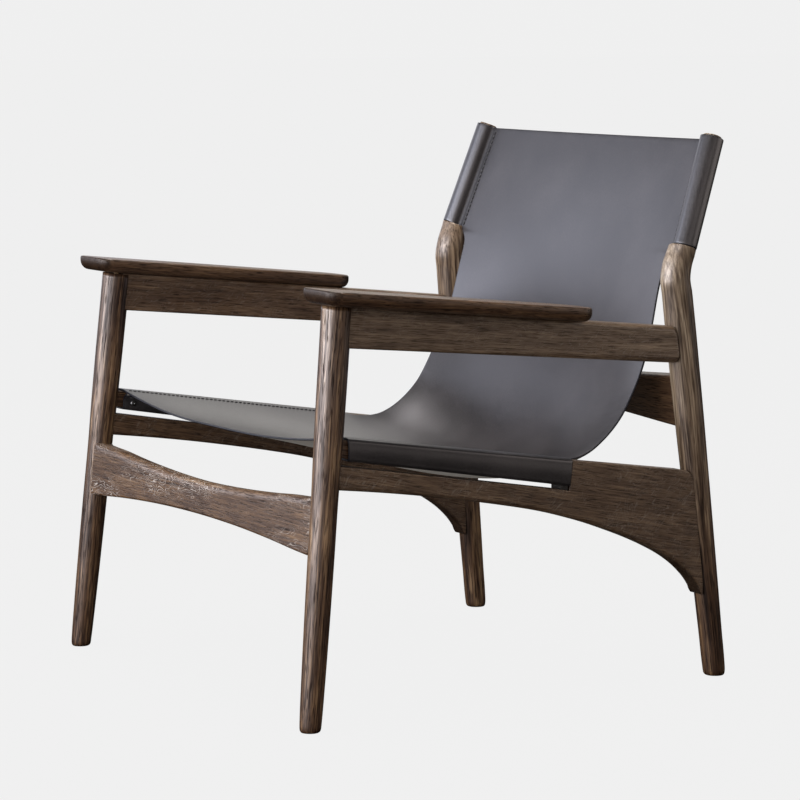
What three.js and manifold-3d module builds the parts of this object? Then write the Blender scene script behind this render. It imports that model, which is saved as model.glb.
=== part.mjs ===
// Leather sling lounge chair: a round-legged oak frame with a one-piece saddle-leather sling.
// Units are millimetres, +Z is up, the sitter looks along -Y, the sitter's left is +X.
// The frame below is laid out with Y = 0 at the front feet; the finished group is then shifted
// so that the origin is the centre of the chair's footprint box on the floor.
import * as THREE from 'three';
import { mergeVertices } from 'three/addons/utils/BufferGeometryUtils.js';
import Module from 'manifold-3d';

const wasm = await Module();
wasm.setup();

// ---------------------------------------------------------------- driving dimensions
const GAP = 0.3;                 // clearance between touching pieces

// One side frame lies in a plane that leans inwards: X = SIDE_X0 + SIDE_KY*y + SIDE_KZ*z
const SIDE_X0 = 330;
const SIDE_KY = -0.04457;
const SIDE_KZ = -0.03525;

// front leg: foot and slope of the axis in Y
const FRONT_RAKE = 0.09855;      // dy/dz of the front leg axis
// rear leg: foot Y and slope
const REAR_FOOT_Y = 646.2;
const REAR_RAKE = -0.11006;      // dy/dz of the rear leg axis

// back posts (the round dowels inside the leather sleeves)
const POST_BASE = [289.8, 598.2, 582.4];
const POST_TIP = [277.5, 649.8, 724.3];
const POST_R = 12.5;
const POST_PROUD = 3.2;          // wood standing above the sleeve

// leather
const LEATHER = 3.0;
const SLEEVE_R = 15.6;

// armrests
const ARM_TOP_Z = 553.67;        // top face height at y = 0
const ARM_SLOPE = -0.1005;       // dz/dy
const ARM_T = 18.6;
const ARM_FRONT_Y = 14.6;
const ARM_REAR_Y = 422.8;
const ARM_IN_FRONT = 276.5, ARM_OUT_FRONT = 363.5;
const ARM_IN_REAR = 278.3, ARM_OUT_REAR = 347;
const ARM_R_FRONT = 20, ARM_R_REAR = 28;

// boards
const ARM_RAIL_H = 15.5;         // half thickness
const SIDE_RAIL_H = 13.2;
const FRONT_STR_H = 13.7;
const REAR_STR_H = 11;

// seat bars
const BAR_H = 10.3;              // half thickness
const BAR_TOP_Z0 = 362.3 + 0.15 * 54.5;  // wood top at y = 0
const BAR_TOP_K = -0.15;
const BAR_BOT_Z0 = 339.4 + 0.170 * 54.5; // wood underside at y = 0
const BAR_BOT_K = -0.170;
const BAR_REAR_Y = 400.2;
const SLEEVE_FRONT_Y = 58.5, SLEEVE_REAR_Y = 399.2;

const Y_CENTRE = 325.71;         // footprint centre in the layout frame

// ---------------------------------------------------------------- finishes
const OAK = new THREE.MeshStandardMaterial({ name: 'oak', color: 0x4b3a31, roughness: 0.55, metalness: 0 });
const HIDE = new THREE.MeshStandardMaterial({ name: 'leather', color: 0x4a4a52, roughness: 0.5, metalness: 0 });
const THREAD = new THREE.MeshStandardMaterial({ name: 'thread', color: 0x1c1c1f, roughness: 0.8, metalness: 0 });
const STEEL = new THREE.MeshStandardMaterial({ name: 'screw', color: 0x1a1a1b, roughness: 0.4, metalness: 0.9 });
const PAD = new THREE.MeshStandardMaterial({ name: 'pad', color: 0x171514, roughness: 0.85, metalness: 0 });
const DOWEL = new THREE.MeshStandardMaterial({ name: 'dowel', color: 0xb08d62, roughness: 0.7, metalness: 0 });

// ---------------------------------------------------------------- helpers
const V = (x, y, z) => new THREE.Vector3(x, y, z);
const sideX = (y, z) => SIDE_X0 + SIDE_KY * y + SIDE_KZ * z;
const frontAxis = (z) => V(sideX(FRONT_RAKE * z, z), FRONT_RAKE * z, z);
const rearAxis = (z) => { const y = REAR_FOOT_Y + REAR_RAKE * z; return V(sideX(y, z), y, z); };
const armTop = (y) => ARM_TOP_Z + ARM_SLOPE * y;
const armUnder = (y) => armTop(y) - ARM_T;
const barTop = (y) => BAR_TOP_Z0 + BAR_TOP_K * y;
const barBot = (y) => BAR_BOT_Z0 + BAR_BOT_K * y;

function toSolid(geometry) {
  const g = geometry.clone();
  for (const n of Object.keys(g.attributes)) if (n !== 'position') g.deleteAttribute(n);
  const m = mergeVertices(g, 1e-4);
  const make = (turned) => {
    const k = new Uint32Array(m.index.array);
    if (turned) for (let i = 0; i < k.length; i += 3) { const t = k[i]; k[i] = k[i + 1]; k[i + 1] = t; }
    return new wasm.Manifold(new wasm.Mesh({ numProp: 3, vertProperties: new Float32Array(m.attributes.position.array), triVerts: k }));
  };
  const solid = make(false);
  return solid.volume() < 0 ? make(true) : solid;    // faces always end up pointing outwards
}

function toGeometry(solid) {
  const m = solid.getMesh();
  const g = new THREE.BufferGeometry();
  const p = new Float32Array(m.numVert * 3);
  for (let i = 0; i < m.numVert; i++) for (let k = 0; k < 3; k++) p[3 * i + k] = m.vertProperties[m.numProp * i + k];
  g.setAttribute('position', new THREE.BufferAttribute(p, 3));
  g.setIndex(new THREE.BufferAttribute(new Uint32Array(m.triVerts), 1));
  g.computeVertexNormals();
  return g;
}

// closed skin through rings of equal length; ring points run anticlockwise seen from the last ring
function loft(rings) {
  const n = rings[0].length, pos = [], idx = [];
  for (const r of rings) for (const p of r) pos.push(p.x, p.y, p.z);
  for (let i = 0; i + 1 < rings.length; i++) for (let j = 0; j < n; j++) {
    const a = i * n + j, b = i * n + (j + 1) % n, c = a + n, d = b + n;
    idx.push(a, b, d, a, d, c);
  }
  const cap = (i, up) => {
    const c = V(0, 0, 0);
    for (const p of rings[i]) c.add(p);
    c.divideScalar(n);
    const k = pos.length / 3;
    pos.push(c.x, c.y, c.z);
    for (let j = 0; j < n; j++) {
      const a = i * n + j, b = i * n + (j + 1) % n;
      if (up) idx.push(k, a, b); else idx.push(k, b, a);
    }
  };
  cap(0, false);
  cap(rings.length - 1, true);
  const g = new THREE.BufferGeometry();
  g.setAttribute('position', new THREE.Float32BufferAttribute(pos, 3));
  g.setIndex(idx);
  return g;
}

// ring of n points about c, in the plane normal to t, with half widths ra (sideways) and rb
function ring(c, t, ra, rb, n) {
  const w = t.clone().normalize();
  const u = V(1, 0, 0).addScaledVector(w, -w.x).normalize();
  const v = new THREE.Vector3().crossVectors(w, u);
  const out = [];
  for (let i = 0; i < n; i++) {
    const a = 2 * Math.PI * (i + 0.5) / n;
    out.push(c.clone().addScaledVector(u, ra * Math.cos(a)).addScaledVector(v, rb * Math.sin(a)));
  }
  return out;
}

// outline [[a, b], ...] swept through +-h and placed by map(a, b, c)
function slab(outline, h, map) {
  let area = 0;
  outline.forEach((p, i) => { const q = outline[(i + 1) % outline.length]; area += p[0] * q[1] - q[0] * p[1]; });
  const pts = (area < 0 ? outline.slice().reverse() : outline).map((p) => new THREE.Vector2(p[0], p[1]));
  const g = new THREE.ExtrudeGeometry(new THREE.Shape(pts), { depth: 2 * h, bevelEnabled: false, steps: 1, curveSegments: 1 });
  const p = g.attributes.position;
  for (let i = 0; i < p.count; i++) {
    const w = map(p.getX(i), p.getY(i), p.getZ(i) - h);
    p.setXYZ(i, w.x, w.y, w.z);
  }
  return g;
}
// layout of the side frame: a = y, b = z, c = distance outwards from the side plane
const sideMap = (a, b, c) => V(sideX(a, b) + c, a, b);

const spline = (pts, n) => new THREE.SplineCurve(pts.map((p) => new THREE.Vector2(p[0], p[1]))).getPoints(n).map((p) => [p.x, p.y]);

// an arc of n steps that rounds the corner q between p and r with radius k
function fillet(p, q, r, k, n = 5) {
  const a = [p[0] - q[0], p[1] - q[1]], b = [r[0] - q[0], r[1] - q[1]];
  const la = Math.hypot(...a), lb = Math.hypot(...b);
  a[0] /= la; a[1] /= la; b[0] /= lb; b[1] /= lb;
  const half = Math.acos(a[0] * b[0] + a[1] * b[1]) / 2, d = k / Math.tan(half);
  const m = [a[0] + b[0], a[1] + b[1]], lm = Math.hypot(...m), e = k / Math.sin(half);
  const c = [q[0] + m[0] / lm * e, q[1] + m[1] / lm * e];
  const s = [q[0] + a[0] * d, q[1] + a[1] * d], t = [q[0] + b[0] * d, q[1] + b[1] * d];
  const a0 = Math.atan2(s[1] - c[1], s[0] - c[0]);
  let a1 = Math.atan2(t[1] - c[1], t[0] - c[0]);
  while (a1 - a0 > Math.PI) a1 -= 2 * Math.PI;
  while (a1 - a0 < -Math.PI) a1 += 2 * Math.PI;
  const out = [];
  for (let i = 0; i <= n; i++) { const w = a0 + (a1 - a0) * i / n; out.push([c[0] + k * Math.cos(w), c[1] + k * Math.sin(w)]); }
  return out;
}

function rod(a, b, r, n = 16) {
  const t = b.clone().sub(a);
  return loft([ring(a, t, r, r, n), ring(b, t, r, r, n)]);
}

const mirror = (geometry) => {
  const g = geometry.clone();
  const p = g.attributes.position;
  for (let i = 0; i < p.count; i++) p.setX(i, -p.getX(i));
  const k = g.index.array.slice();
  for (let i = 0; i < k.length; i += 3) { const s = k[i]; k[i] = k[i + 1]; k[i + 1] = s; }
  g.setIndex(new THREE.BufferAttribute(k, 1));
  g.computeVertexNormals();
  return g;
};

const bigBox = (z0, z1) => {
  const g = new THREE.BoxGeometry(1000, 1200, z1 - z0);
  g.translate(300, 300, (z0 + z1) / 2);
  return g;
};

// ---------------------------------------------------------------- front legs
const FRONT_PROFILE = [[-4, 8.2], [-1, 10.6], [1, 12.2], [3.5, 13.2], [7, 13.7], [12, 13.9], [64, 15.15], [122, 16.0],
  [210, 16.8], [290, 17.1], [350, 18.2], [420, 18.9], [480, 19.1], [545, 19.5]];
function frontLegRings(grow, n) {
  const t = frontAxis(1).sub(frontAxis(0));
  return FRONT_PROFILE.map(([z, r]) => ring(frontAxis(z), t, r + grow, r + grow, n));
}
const LEG_SEG = 28;
const underArm = (lift) => {         // everything above the underside of the armrest
  const g = new THREE.BoxGeometry(400, 900, 200);
  const p = g.attributes.position;
  for (let i = 0; i < p.count; i++) {
    const y = p.getY(i) + 300, up = p.getZ(i) > 0;
    p.setXYZ(i, p.getX(i) + 300, y, up ? 900 : armUnder(y) + lift);
  }
  return toSolid(g);
};
const floorCut = toSolid(bigBox(-60, 0));
const frontLegBlank = toSolid(loft(frontLegRings(0, LEG_SEG))).subtract(floorCut).subtract(underArm(-GAP));
const frontLegGrown = toSolid(loft(frontLegRings(GAP, LEG_SEG)));

// ---------------------------------------------------------------- rear legs with the knee and the back post
const postDir = V(POST_TIP[0] - POST_BASE[0], POST_TIP[1] - POST_BASE[1], POST_TIP[2] - POST_BASE[2]).normalize();
const postAt = (s) => V(...POST_BASE).addScaledVector(postDir, s);
const POST_LEN = V(...POST_BASE).distanceTo(V(...POST_TIP));
const REAR_PROFILE = [[-4, 9], [-1, 11.6], [1, 13.2], [3.5, 14.4], [7, 15], [14, 15.3], [60, 15.8], [102, 16.5], [180, 17.6],
  [294, 19.0], [348, 19.7], [402, 20.1], [484, 20.5], [520, 20.3]];
// knee: centre, half width sideways, half width front to back, share of the turn towards the post
const KNEE = [
  [537, 586.6, -0.2, 20.2, 20.0, 0.12],
  [550, 588.2, -0.4, 20.3, 19.6, 0.35],
  [561, 591.0, -0.1, 20.4, 19.0, 0.62],
  [571, 594.6, 0.9, 20.4, 18.2, 0.86],
];
function rearLegRings(grow, n, withPost) {
  const t = rearAxis(1).sub(rearAxis(0)).normalize();
  const rings = REAR_PROFILE.map(([z, r]) => ring(rearAxis(z), t, r + grow, r + grow, n));
  for (const [z, y, dx, ra, rb, w] of KNEE) {
    const d = t.clone().multiplyScalar(1 - w).addScaledVector(postDir, w);
    rings.push(ring(V(sideX(y, z) + dx, y, z), d, ra + grow, rb + grow, n));
  }
  const ledge = postAt(-GAP);
  rings.push(ring(V(ledge.x - 4.6, ledge.y - 0.2, ledge.z), postDir, 20.2 + grow, 17.4 + grow, n));
  if (withPost) {
    rings.push(ring(ledge, postDir, POST_R, POST_R, n));
    rings.push(ring(postAt(POST_LEN + POST_PROUD - 1.5), postDir, POST_R, POST_R, n));
    rings.push(ring(postAt(POST_LEN + POST_PROUD - 0.4), postDir, POST_R - 0.5, POST_R - 0.5, n));
    rings.push(ring(postAt(POST_LEN + POST_PROUD), postDir, POST_R - 1.6, POST_R - 1.6, n));
  }
  return rings;
}
const rearLegBlank = toSolid(loft(rearLegRings(0, LEG_SEG, true))).subtract(floorCut);
const rearLegGrown = toSolid(loft(rearLegRings(GAP, LEG_SEG, false)));

// ---------------------------------------------------------------- side boards, in side-frame coordinates (y, z)
const yF = (z) => FRONT_RAKE * z, yR = (z) => REAR_FOOT_Y + REAR_RAKE * z;

const ARM_RAIL_END = 585.5;
const armRailTop = (y) => armUnder(y) - GAP, armRailBot = (y) => 482.2 - 0.0937 * y;
const armRailOutline = [
  [yF(478) + 6, armRailBot(yF(478) + 6)],
  ...fillet([300, armRailBot(300)], [ARM_RAIL_END + 0.5, armRailBot(ARM_RAIL_END)], [ARM_RAIL_END - 1, 455], 11),
  ...fillet([ARM_RAIL_END - 1, 455], [ARM_RAIL_END - 3, armRailTop(ARM_RAIL_END - 3)], [300, armRailTop(300)], 15),
  [yF(528) + 6, armRailTop(yF(528) + 6)],
];

const STEP_TOP = [403.4, 310.9], STEP_FOOT = [397.6, 271.8];
const riserY = (z) => STEP_FOOT[0] + (STEP_TOP[0] - STEP_FOOT[0]) * (z - STEP_FOOT[1]) / (STEP_TOP[1] - STEP_FOOT[1]);
const railTop = (y) => 330.6 - 0.168 * (y - 47.6);
const railRearTop = (y) => 310.9 - 0.1445 * (y - 403.4);
const railUnder = spline([[36, 301.3], [100, 293.2], [163, 284], [225, 273.6], [287, 262.2], [350, 248.8], [400, 235], [432, 225],
  [465, 213], [499, 199.6], [532, 184.5], [558, 170.5], [583, 152.6], [601, 134.5], [611.5, 119.5]], 30);
const sideRailOutline = [
  ...railUnder,
  [613.6, 115.6], [615.6, 113.6], [617.6, 114.0], [618.7, 117], [618.8, 125], [618.2, 140], [617.2, 150], [614, 180], [610.5, 210], [608, 238],
  ...fillet([607.2, 245], [603.6, railRearTop(603.6)], [560, railRearTop(560)], 20, 6),
  STEP_TOP,
  [STEP_FOOT[0], STEP_FOOT[1] + 1.2], [STEP_FOOT[0] - 1.2, railTop(STEP_FOOT[0])],
  [36, railTop(36)],
];

// tenons and their mortises, in side-frame coordinates; "g" grows the outline
const quad = (y0, y1, z0, z1, yc, g) => [   // y limits are measured from the leg axis yc(z)
  [yc(z0) + y0 - g, z0 - g], [yc(z0) + y1 + g, z0 - g], [yc(z1) + y1 + g, z1 + g], [yc(z1) + y0 - g, z1 + g]];
const tenon = (y0, y1, z0, z1, yc, h) => ({
  body: toSolid(slab(quad(y0, y1, z0, z1, yc, 0), h, sideMap)),
  pocket: toSolid(slab(quad(y0 - 30 * (y0 < 0 && yc === yR), y1 + 30 * (y1 > 0 && yc === yF), z0, z1, yc, GAP), h + GAP, sideMap)),
});
const tArmFront = tenon(-6, 30, 486, 518, yF, 5);
const tArmRear = tenon(-30, 6, 440, 468, yR, 5);
const tRailFront = tenon(-6, 30, 305.5, 322, yF, 5);
const tRailRear = tenon(-28, 5, 160, 262, yR, 5);
const tBarFront = tenon(-6, 26, 345.5, 356.5, yF, 5);

const legsGrown = frontLegGrown.add(rearLegGrown);
const largest = (solid) => solid.decompose().sort((a, b) => b.volume() - a.volume())[0];

const armRail = largest(toSolid(slab(armRailOutline, ARM_RAIL_H, sideMap)).subtract(legsGrown))
  .add(tArmFront.body).add(tArmRear.body);

// seat bar: tapered board; the leather runs round it
const barOutline = [
  [yF(350) + 6, barBot(yF(350) + 6)], [BAR_REAR_Y - 4.2, barBot(BAR_REAR_Y - 4.2)],
  [BAR_REAR_Y + 1.2, barTop(BAR_REAR_Y + 1.2)], [yF(350) + 6, barTop(yF(350) + 6)]];
const pinDir = V(sideX(1, BAR_TOP_K) - sideX(0, 0), 1, BAR_TOP_K).normalize();
const pinMid = V(sideX(401, 292), 401, 292);
const pinSolid = rod(pinMid.clone().addScaledVector(pinDir, -22), pinMid.clone().addScaledVector(pinDir, 22), 4, 14);
const pinHole = toSolid(rod(pinMid.clone().addScaledVector(pinDir, -22.6), pinMid.clone().addScaledVector(pinDir, 22.6), 4 + GAP, 14));

// screws that hold the lower leather layer to the seat bars, on the inboard side
const SCREW_Y = [72, 364];
const screwZ = (y) => barBot(y) + 7.5;
const screwAt = (y, c) => V(sideX(y, screwZ(y)) + c, y, screwZ(y));
// ring about an axis along X
function ringX(c, r, n) {
  const out = [];
  for (let i = 0; i < n; i++) { const a = 2 * Math.PI * i / n; out.push(V(c.x, c.y + r * Math.cos(a), c.z + r * Math.sin(a))); }
  return out;
}
function screwGeometry(y) {
  const face = -(BAR_H + GAP + LEATHER) - 0.2;
  const r = [[face - 2.0, 1.6], [face - 1.8, 2.8], [face - 0.9, 3.8], [face, 4.0], [face, 1.7], [-1.5, 1.7], [0.5, 0.5]];
  return loft(r.map(([c, k]) => ringX(screwAt(y, c), k, 12)));
}
const screwHole = (y, c0, c1, r) => toSolid(loft([ringX(screwAt(y, c0), r, 12), ringX(screwAt(y, c1), r, 12)]));

let seatBar = largest(toSolid(slab(barOutline, BAR_H, sideMap)).subtract(frontLegGrown)).add(tBarFront.body).subtract(pinHole);
for (const y of SCREW_Y) seatBar = seatBar.subtract(screwHole(y, -BAR_H - 3, 1.0, 2.0));

const sideRail = largest(toSolid(slab(sideRailOutline, SIDE_RAIL_H, sideMap)).subtract(legsGrown))
  .add(tRailFront.body).add(tRailRear.body).subtract(pinHole);

// small rest pad under the rear end of the seat bar, standing on the rail's ledge
const REST_FRONT_Y = 384.6, REST_REAR_Y = 396.6, REST_HALF = 11.5;
const blockOutline = [
  [REST_FRONT_Y, railTop(REST_FRONT_Y) + GAP], [REST_REAR_Y, railTop(REST_REAR_Y) + GAP],
  [REST_REAR_Y, barBot(REST_REAR_Y) - LEATHER - 2 * GAP], [REST_FRONT_Y, barBot(REST_FRONT_Y) - LEATHER - 2 * GAP]];
const restBlock = slab(blockOutline, REST_HALF, sideMap);

// ---------------------------------------------------------------- stretchers
// front stretcher: a = x, b = z, c = forwards from the plane of the front leg axes
const rakeLen = Math.hypot(1, FRONT_RAKE);
const frontMap = (a, b, c) => V(a, FRONT_RAKE * b - c / rakeLen, b + FRONT_RAKE * c / rakeLen);
const half = (pts) => [...pts.map(([x, z]) => [x, z]), ...pts.slice(0, -1).reverse().map(([x, z]) => [-x, z])];
const frontTop = spline([[-311, 289.6], [-280, 288.2], [-240, 286], [-195, 282.2], [-134, 278.2], [-73.8, 275.4], [0, 273.8], [73.8, 275.4], [134, 278.2],
  [195, 282.2], [240, 286], [280, 288.2], [311, 289.6]], 24);
const frontBot = spline([[311, 217.4], [270, 219.6], [214, 223.8], [160, 227], [106, 229.3], [50, 230.6], [0, 231], [-50, 230.6], [-106, 229.3], [-160, 227],
  [-214, 223.8], [-270, 219.6], [-311, 217.4]], 24);
const frontOutline = [
  ...frontTop.slice(1, -1),
  ...fillet([290, 288.6], [311.6, 289.6], [311.6, 255], 9, 4), ...fillet([311.6, 255], [311.6, 217.4], [290, 218.5], 7, 4),
  ...frontBot.slice(1, -1),
  ...fillet([-290, 218.5], [-311.6, 217.4], [-311.6, 255], 7, 4), ...fillet([-311.6, 255], [-311.6, 289.6], [-290, 288.6], 9, 4),
];
const crossTenon = (map, x, z0, z1, h) => ({
  body: toSolid(slab([[x - 36, z0], [x + 5, z0], [x + 5, z1], [x - 36, z1]], h, map)),
  pocket: toSolid(slab([[x - 60, z0 - GAP], [x + 5 + GAP, z0 - GAP], [x + 5 + GAP, z1 + GAP], [x - 60, z1 + GAP]], h + GAP, map)),
});
const tFrontStr = crossTenon(frontMap, 320, 228, 281, 5);
const mirrorSolid = (s) => toSolid(mirror(toGeometry(s)));
const frontStretcher = largest(toSolid(slab(frontOutline, FRONT_STR_H, frontMap)).subtract(frontLegGrown).subtract(mirrorSolid(frontLegGrown)))
  .add(tFrontStr.body).add(mirrorSolid(tFrontStr.body));

const rearLen = Math.hypot(1, REAR_RAKE);
const rearMap = (a, b, c) => V(a, REAR_FOOT_Y + REAR_RAKE * b - c / rearLen, b + REAR_RAKE * c / rearLen);
const rearOutline = [
  ...spline([[-290, 410.2], [-255, 408], [-187, 403.7], [-120, 399.8], [-60, 397.2], [0, 396.2], [60, 397.2], [120, 399.8], [187, 403.7], [255, 408], [290, 410.2]], 20),
  ...spline([[290, 339.2], [256, 341], [200, 344.6], [138, 348.5], [70, 351.2], [0, 352.2], [-70, 351.2], [-138, 348.5], [-200, 344.6], [-256, 341], [-290, 339.2]], 20),
];
const tRearStr = crossTenon(rearMap, 290, 348, 400, 5);
const rearStretcher = largest(toSolid(slab(rearOutline, REAR_STR_H, rearMap)).subtract(rearLegGrown).subtract(mirrorSolid(rearLegGrown)))
  .add(tRearStr.body).add(mirrorSolid(tRearStr.body));

// ---------------------------------------------------------------- armrests: bull-nosed boards
function armOutline(inset, steps) {
  const r0 = Math.max(ARM_R_FRONT - inset, 4), r1 = Math.max(ARM_R_REAR - inset, 6);
  const yf = ARM_FRONT_Y + inset, yr = ARM_REAR_Y - inset;
  const inn = (y) => ARM_IN_FRONT + (ARM_IN_REAR - ARM_IN_FRONT) * (y - ARM_FRONT_Y) / (ARM_REAR_Y - ARM_FRONT_Y) + inset;
  const out = (y) => ARM_OUT_FRONT + (ARM_OUT_REAR - ARM_OUT_FRONT) * (y - ARM_FRONT_Y) / (ARM_REAR_Y - ARM_FRONT_Y) - inset;
  const A = [inn(yf), yf], B = [out(yf), yf], C = [out(yr), yr], D = [inn(yr), yr];
  return [...fillet(D, A, B, r0, steps), ...fillet(A, B, C, r0, steps), ...fillet(B, C, D, r1, steps), ...fillet(C, D, A, r1, steps)];
}
// [depth below the top face, inset]
const ARM_LAYERS = [[ARM_T, 10.5], [ARM_T - 0.6, 7.4], [ARM_T - 2.2, 4.6], [ARM_T - 4.8, 2.2], [ARM_T - 8.4, 0.5], [ARM_T - 12, 0], [1.5, 0], [0.4, 0.5], [0, 1.5]];
const armBlank = toSolid(loft(ARM_LAYERS.map(([d, inset]) => armOutline(inset, 6).map(([x, y]) => V(x, y, armTop(y) - d)))));

// hidden dowels that hold the armrest to the leg top and the arm rail
const armUp = V(0, -ARM_SLOPE, 1).normalize();
const DOWEL_AT = [[sideX(52, 530), 52], [sideX(170, 518), 170], [sideX(290, 505), 290], [sideX(400, 494), 400]];
const dowelPiece = (x, y, g) => rod(V(x, y, armUnder(y)).addScaledVector(armUp, -16 - g), V(x, y, armUnder(y)).addScaledVector(armUp, 11 + g), 4 + g, 14);
const dowels = DOWEL_AT.map(([x, y]) => dowelPiece(x, y, 0));
const dowelHoles = DOWEL_AT.map(([x, y]) => toSolid(dowelPiece(x, y, GAP))).reduce((a, b) => a.add(b));
const armrest = armBlank.subtract(dowelHoles);

const frontLeg = frontLegBlank.subtract(tArmFront.pocket).subtract(tRailFront.pocket).subtract(tBarFront.pocket)
  .subtract(tFrontStr.pocket).subtract(dowelHoles);
const rearLeg = rearLegBlank.subtract(tArmRear.pocket).subtract(tRailRear.pocket).subtract(tRearStr.pocket);
const armRailDone = armRail.subtract(dowelHoles);

// ---------------------------------------------------------------- the leather sling
// Stations run from the top of the back to the front of the seat. Each gives the edge point (x, y, z) and the
// middle point (y, z) of the upper (sitter's) face; between them the hide hangs in a curve of power p.
// the stitched line beside each post: outboard and rearward distance from the post's axis at height s along it
const crease = (s) => [-27.3 - 1.3 * s / 151, 0.8 - 2.3 * s / 151];
const face = (s) => 0.95 * (0.8 - crease(s)[1]);
const STATIONS = [
  // edge x, y, z, middle y, z, p
  [postAt(151).x - 13.5, postAt(151).y - face(151), postAt(151).z, 650.4, 721.0, 2.0],
  [postAt(120).x - 13.5, postAt(120).y - face(120), postAt(120).z, 640.4, 691.8, 2.0],
  [postAt(80).x - 13.5, postAt(80).y - face(80), postAt(80).z, 628.3, 653.6, 2.0],
  [postAt(40).x - 13.5, postAt(40).y - face(40), postAt(40).z, 617.0, 615.2, 2.0],
  [postAt(1.5).x - 14, postAt(1.5).y - face(1.5), postAt(1.5).z, 607.4, 579.4, 2.0],
  [261.0, 595.4, 574.0, 605.8, 570.6, 2.0],
  [251.5, 592.4, 563.0, 603.6, 558.0, 2.0],
  [249.2, 586.5, 540.0, 600.0, 532.5, 2.0],
  [249.5, 580.6, 519.0, 597.2, 510.0, 2.0],
  [251.2, 572.8, 482.0, 592.8, 470.5, 2.0],
  [254.0, 563.4, 449.0, 587.8, 434.0, 2.0],
  [257.0, 554.5, 427.0, 583.0, 407.5, 2.0],
  [258.4, 543.7, 403.0, 575.6, 378.0, 2.0],
  [258.6, 530.6, 378.5, 564.8, 347.5, 2.0],
  [258.8, 517.4, 357.2, 551.8, 321.0, 2.0],
  [259.4, 500.8, 339.2, 534.0, 297.0, 2.0],
  [260.4, 483.4, 325.2, 513.0, 277.8, 2.0],
  [262.2, 466.4, 315.0, 489.6, 264.6, 2.0],
  [265.0, 449.8, 309.0, 465.0, 257.6, 2.0],
  [272.0, 430.0, 307.4, 440.0, 255.8, 2.02],
  [284.2, 414.0, 309.0, 418.0, 256.6, 2.04],
  [286.6, 403.0, 312.2, 406.0, 257.4, 2.04],
];
const seatEdge = (y) => [sideX(y, barTop(y)) - 9.8, y, barTop(y) + LEATHER];
for (const [y, ym, zm, p] of [[401.6, 401, 258.4, 2.05], [370, 370, 263.6, 2.08], [330, 330, 272.8, 2.1], [285, 285, 285.0, 2.14],
  [240, 240, 297.6, 2.2], [195, 195, 309.6, 2.26], [150, 150, 321.0, 2.32], [105, 104, 332.4, 2.4], [80, 77, 338.6, 2.45], [59.8, 56, 343.5, 2.5]]) {
  const e = seatEdge(y);
  STATIONS.push([e[0], e[1], e[2], ym, zm, p]);
}
const ACROSS = [-1, -0.93, -0.84, -0.72, -0.58, -0.42, -0.25, -0.08, 0.08, 0.25, 0.42, 0.58, 0.72, 0.84, 0.93, 1];
function panelSolid() {
  const rows = STATIONS.length, cols = ACROSS.length;
  const top = STATIONS.map(([ex, ey, ez, my, mz, p]) => ACROSS.map((t) => {
    const w = Math.abs(t) ** p;
    return V(t * ex, my + (ey - my) * w, mz + (ez - mz) * w);
  }));
  const normal = (i, j) => {
    const a = top[Math.min(i + 1, rows - 1)][j].clone().sub(top[Math.max(i - 1, 0)][j]);
    const b = top[i][Math.min(j + 1, cols - 1)].clone().sub(top[i][Math.max(j - 1, 0)]);
    return new THREE.Vector3().crossVectors(a, b).normalize();
  };
  const low = top.map((r, i) => r.map((p, j) => p.clone().addScaledVector(normal(i, j), -LEATHER)));
  const pos = [], idx = [];
  for (const g of [top, low]) for (const r of g) for (const p of r) pos.push(p.x, p.y, p.z);
  const id = (k, i, j) => k * rows * cols + i * cols + j;
  for (let i = 0; i + 1 < rows; i++) for (let j = 0; j + 1 < cols; j++) {
    const q = (k) => [id(k, i, j), id(k, i + 1, j), id(k, i + 1, j + 1), id(k, i, j + 1)];
    const t = q(0), b = q(1);
    if (j < (cols - 1) / 2) {
      idx.push(t[0], t[1], t[2], t[0], t[2], t[3], b[0], b[2], b[1], b[0], b[3], b[2]);
    } else {
      idx.push(t[0], t[1], t[3], t[1], t[2], t[3], b[0], b[3], b[1], b[1], b[3], b[2]);
    }
  }
  const rim = [];
  for (let i = 0; i < rows - 1; i++) rim.push([i, 0]);
  for (let j = 0; j < cols - 1; j++) rim.push([rows - 1, j]);
  for (let i = rows - 1; i > 0; i--) rim.push([i, cols - 1]);
  for (let j = cols - 1; j > 0; j--) rim.push([0, j]);
  rim.forEach(([i, j], k) => {
    const [m, n] = rim[(k + 1) % rim.length];
    idx.push(id(0, i, j), id(1, i, j), id(1, m, n), id(0, i, j), id(1, m, n), id(0, m, n));
  });
  const g = new THREE.BufferGeometry();
  g.setAttribute('position', new THREE.Float32BufferAttribute(pos, 3));
  g.setIndex(idx);
  return toSolid(g);
}

// sleeve round a back post: a tube and a two-layer flange on the inboard side
function postSleeve() {
  const a = postAt(0), b = postAt(151);
  const tube = toSolid(loft([ring(a, postDir, SLEEVE_R, SLEEVE_R, 26), ring(b, postDir, SLEEVE_R, SLEEVE_R, 26)]));
  const bore = toSolid(loft([ring(postAt(-5), postDir, POST_R + GAP, POST_R + GAP, 28), ring(postAt(157), postDir, POST_R + GAP, POST_R + GAP, 28)]));
  const back = new THREE.Vector3().crossVectors(postDir, V(1, 0, 0)).normalize();   // points to the rear
  if (back.y < 0) back.negate();
  const side = new THREE.Vector3().crossVectors(back, postDir).normalize();
  if (side.x < 0) side.negate();
  const sec = (s) => {
    const [u, w] = crease(s);
    return [[u - 4.8, w - 0.8], [-13.6, w - 0.8], [-13.6, w + 4.9], [u - 4.8, w + 4.9]].map(([m, n]) => postAt(s).addScaledVector(side, m).addScaledVector(back, n));
  };
  const flange = toSolid(loft([sec(0), sec(151)].map((r) => r)));
  return { tube, bore, flange };
}

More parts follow.
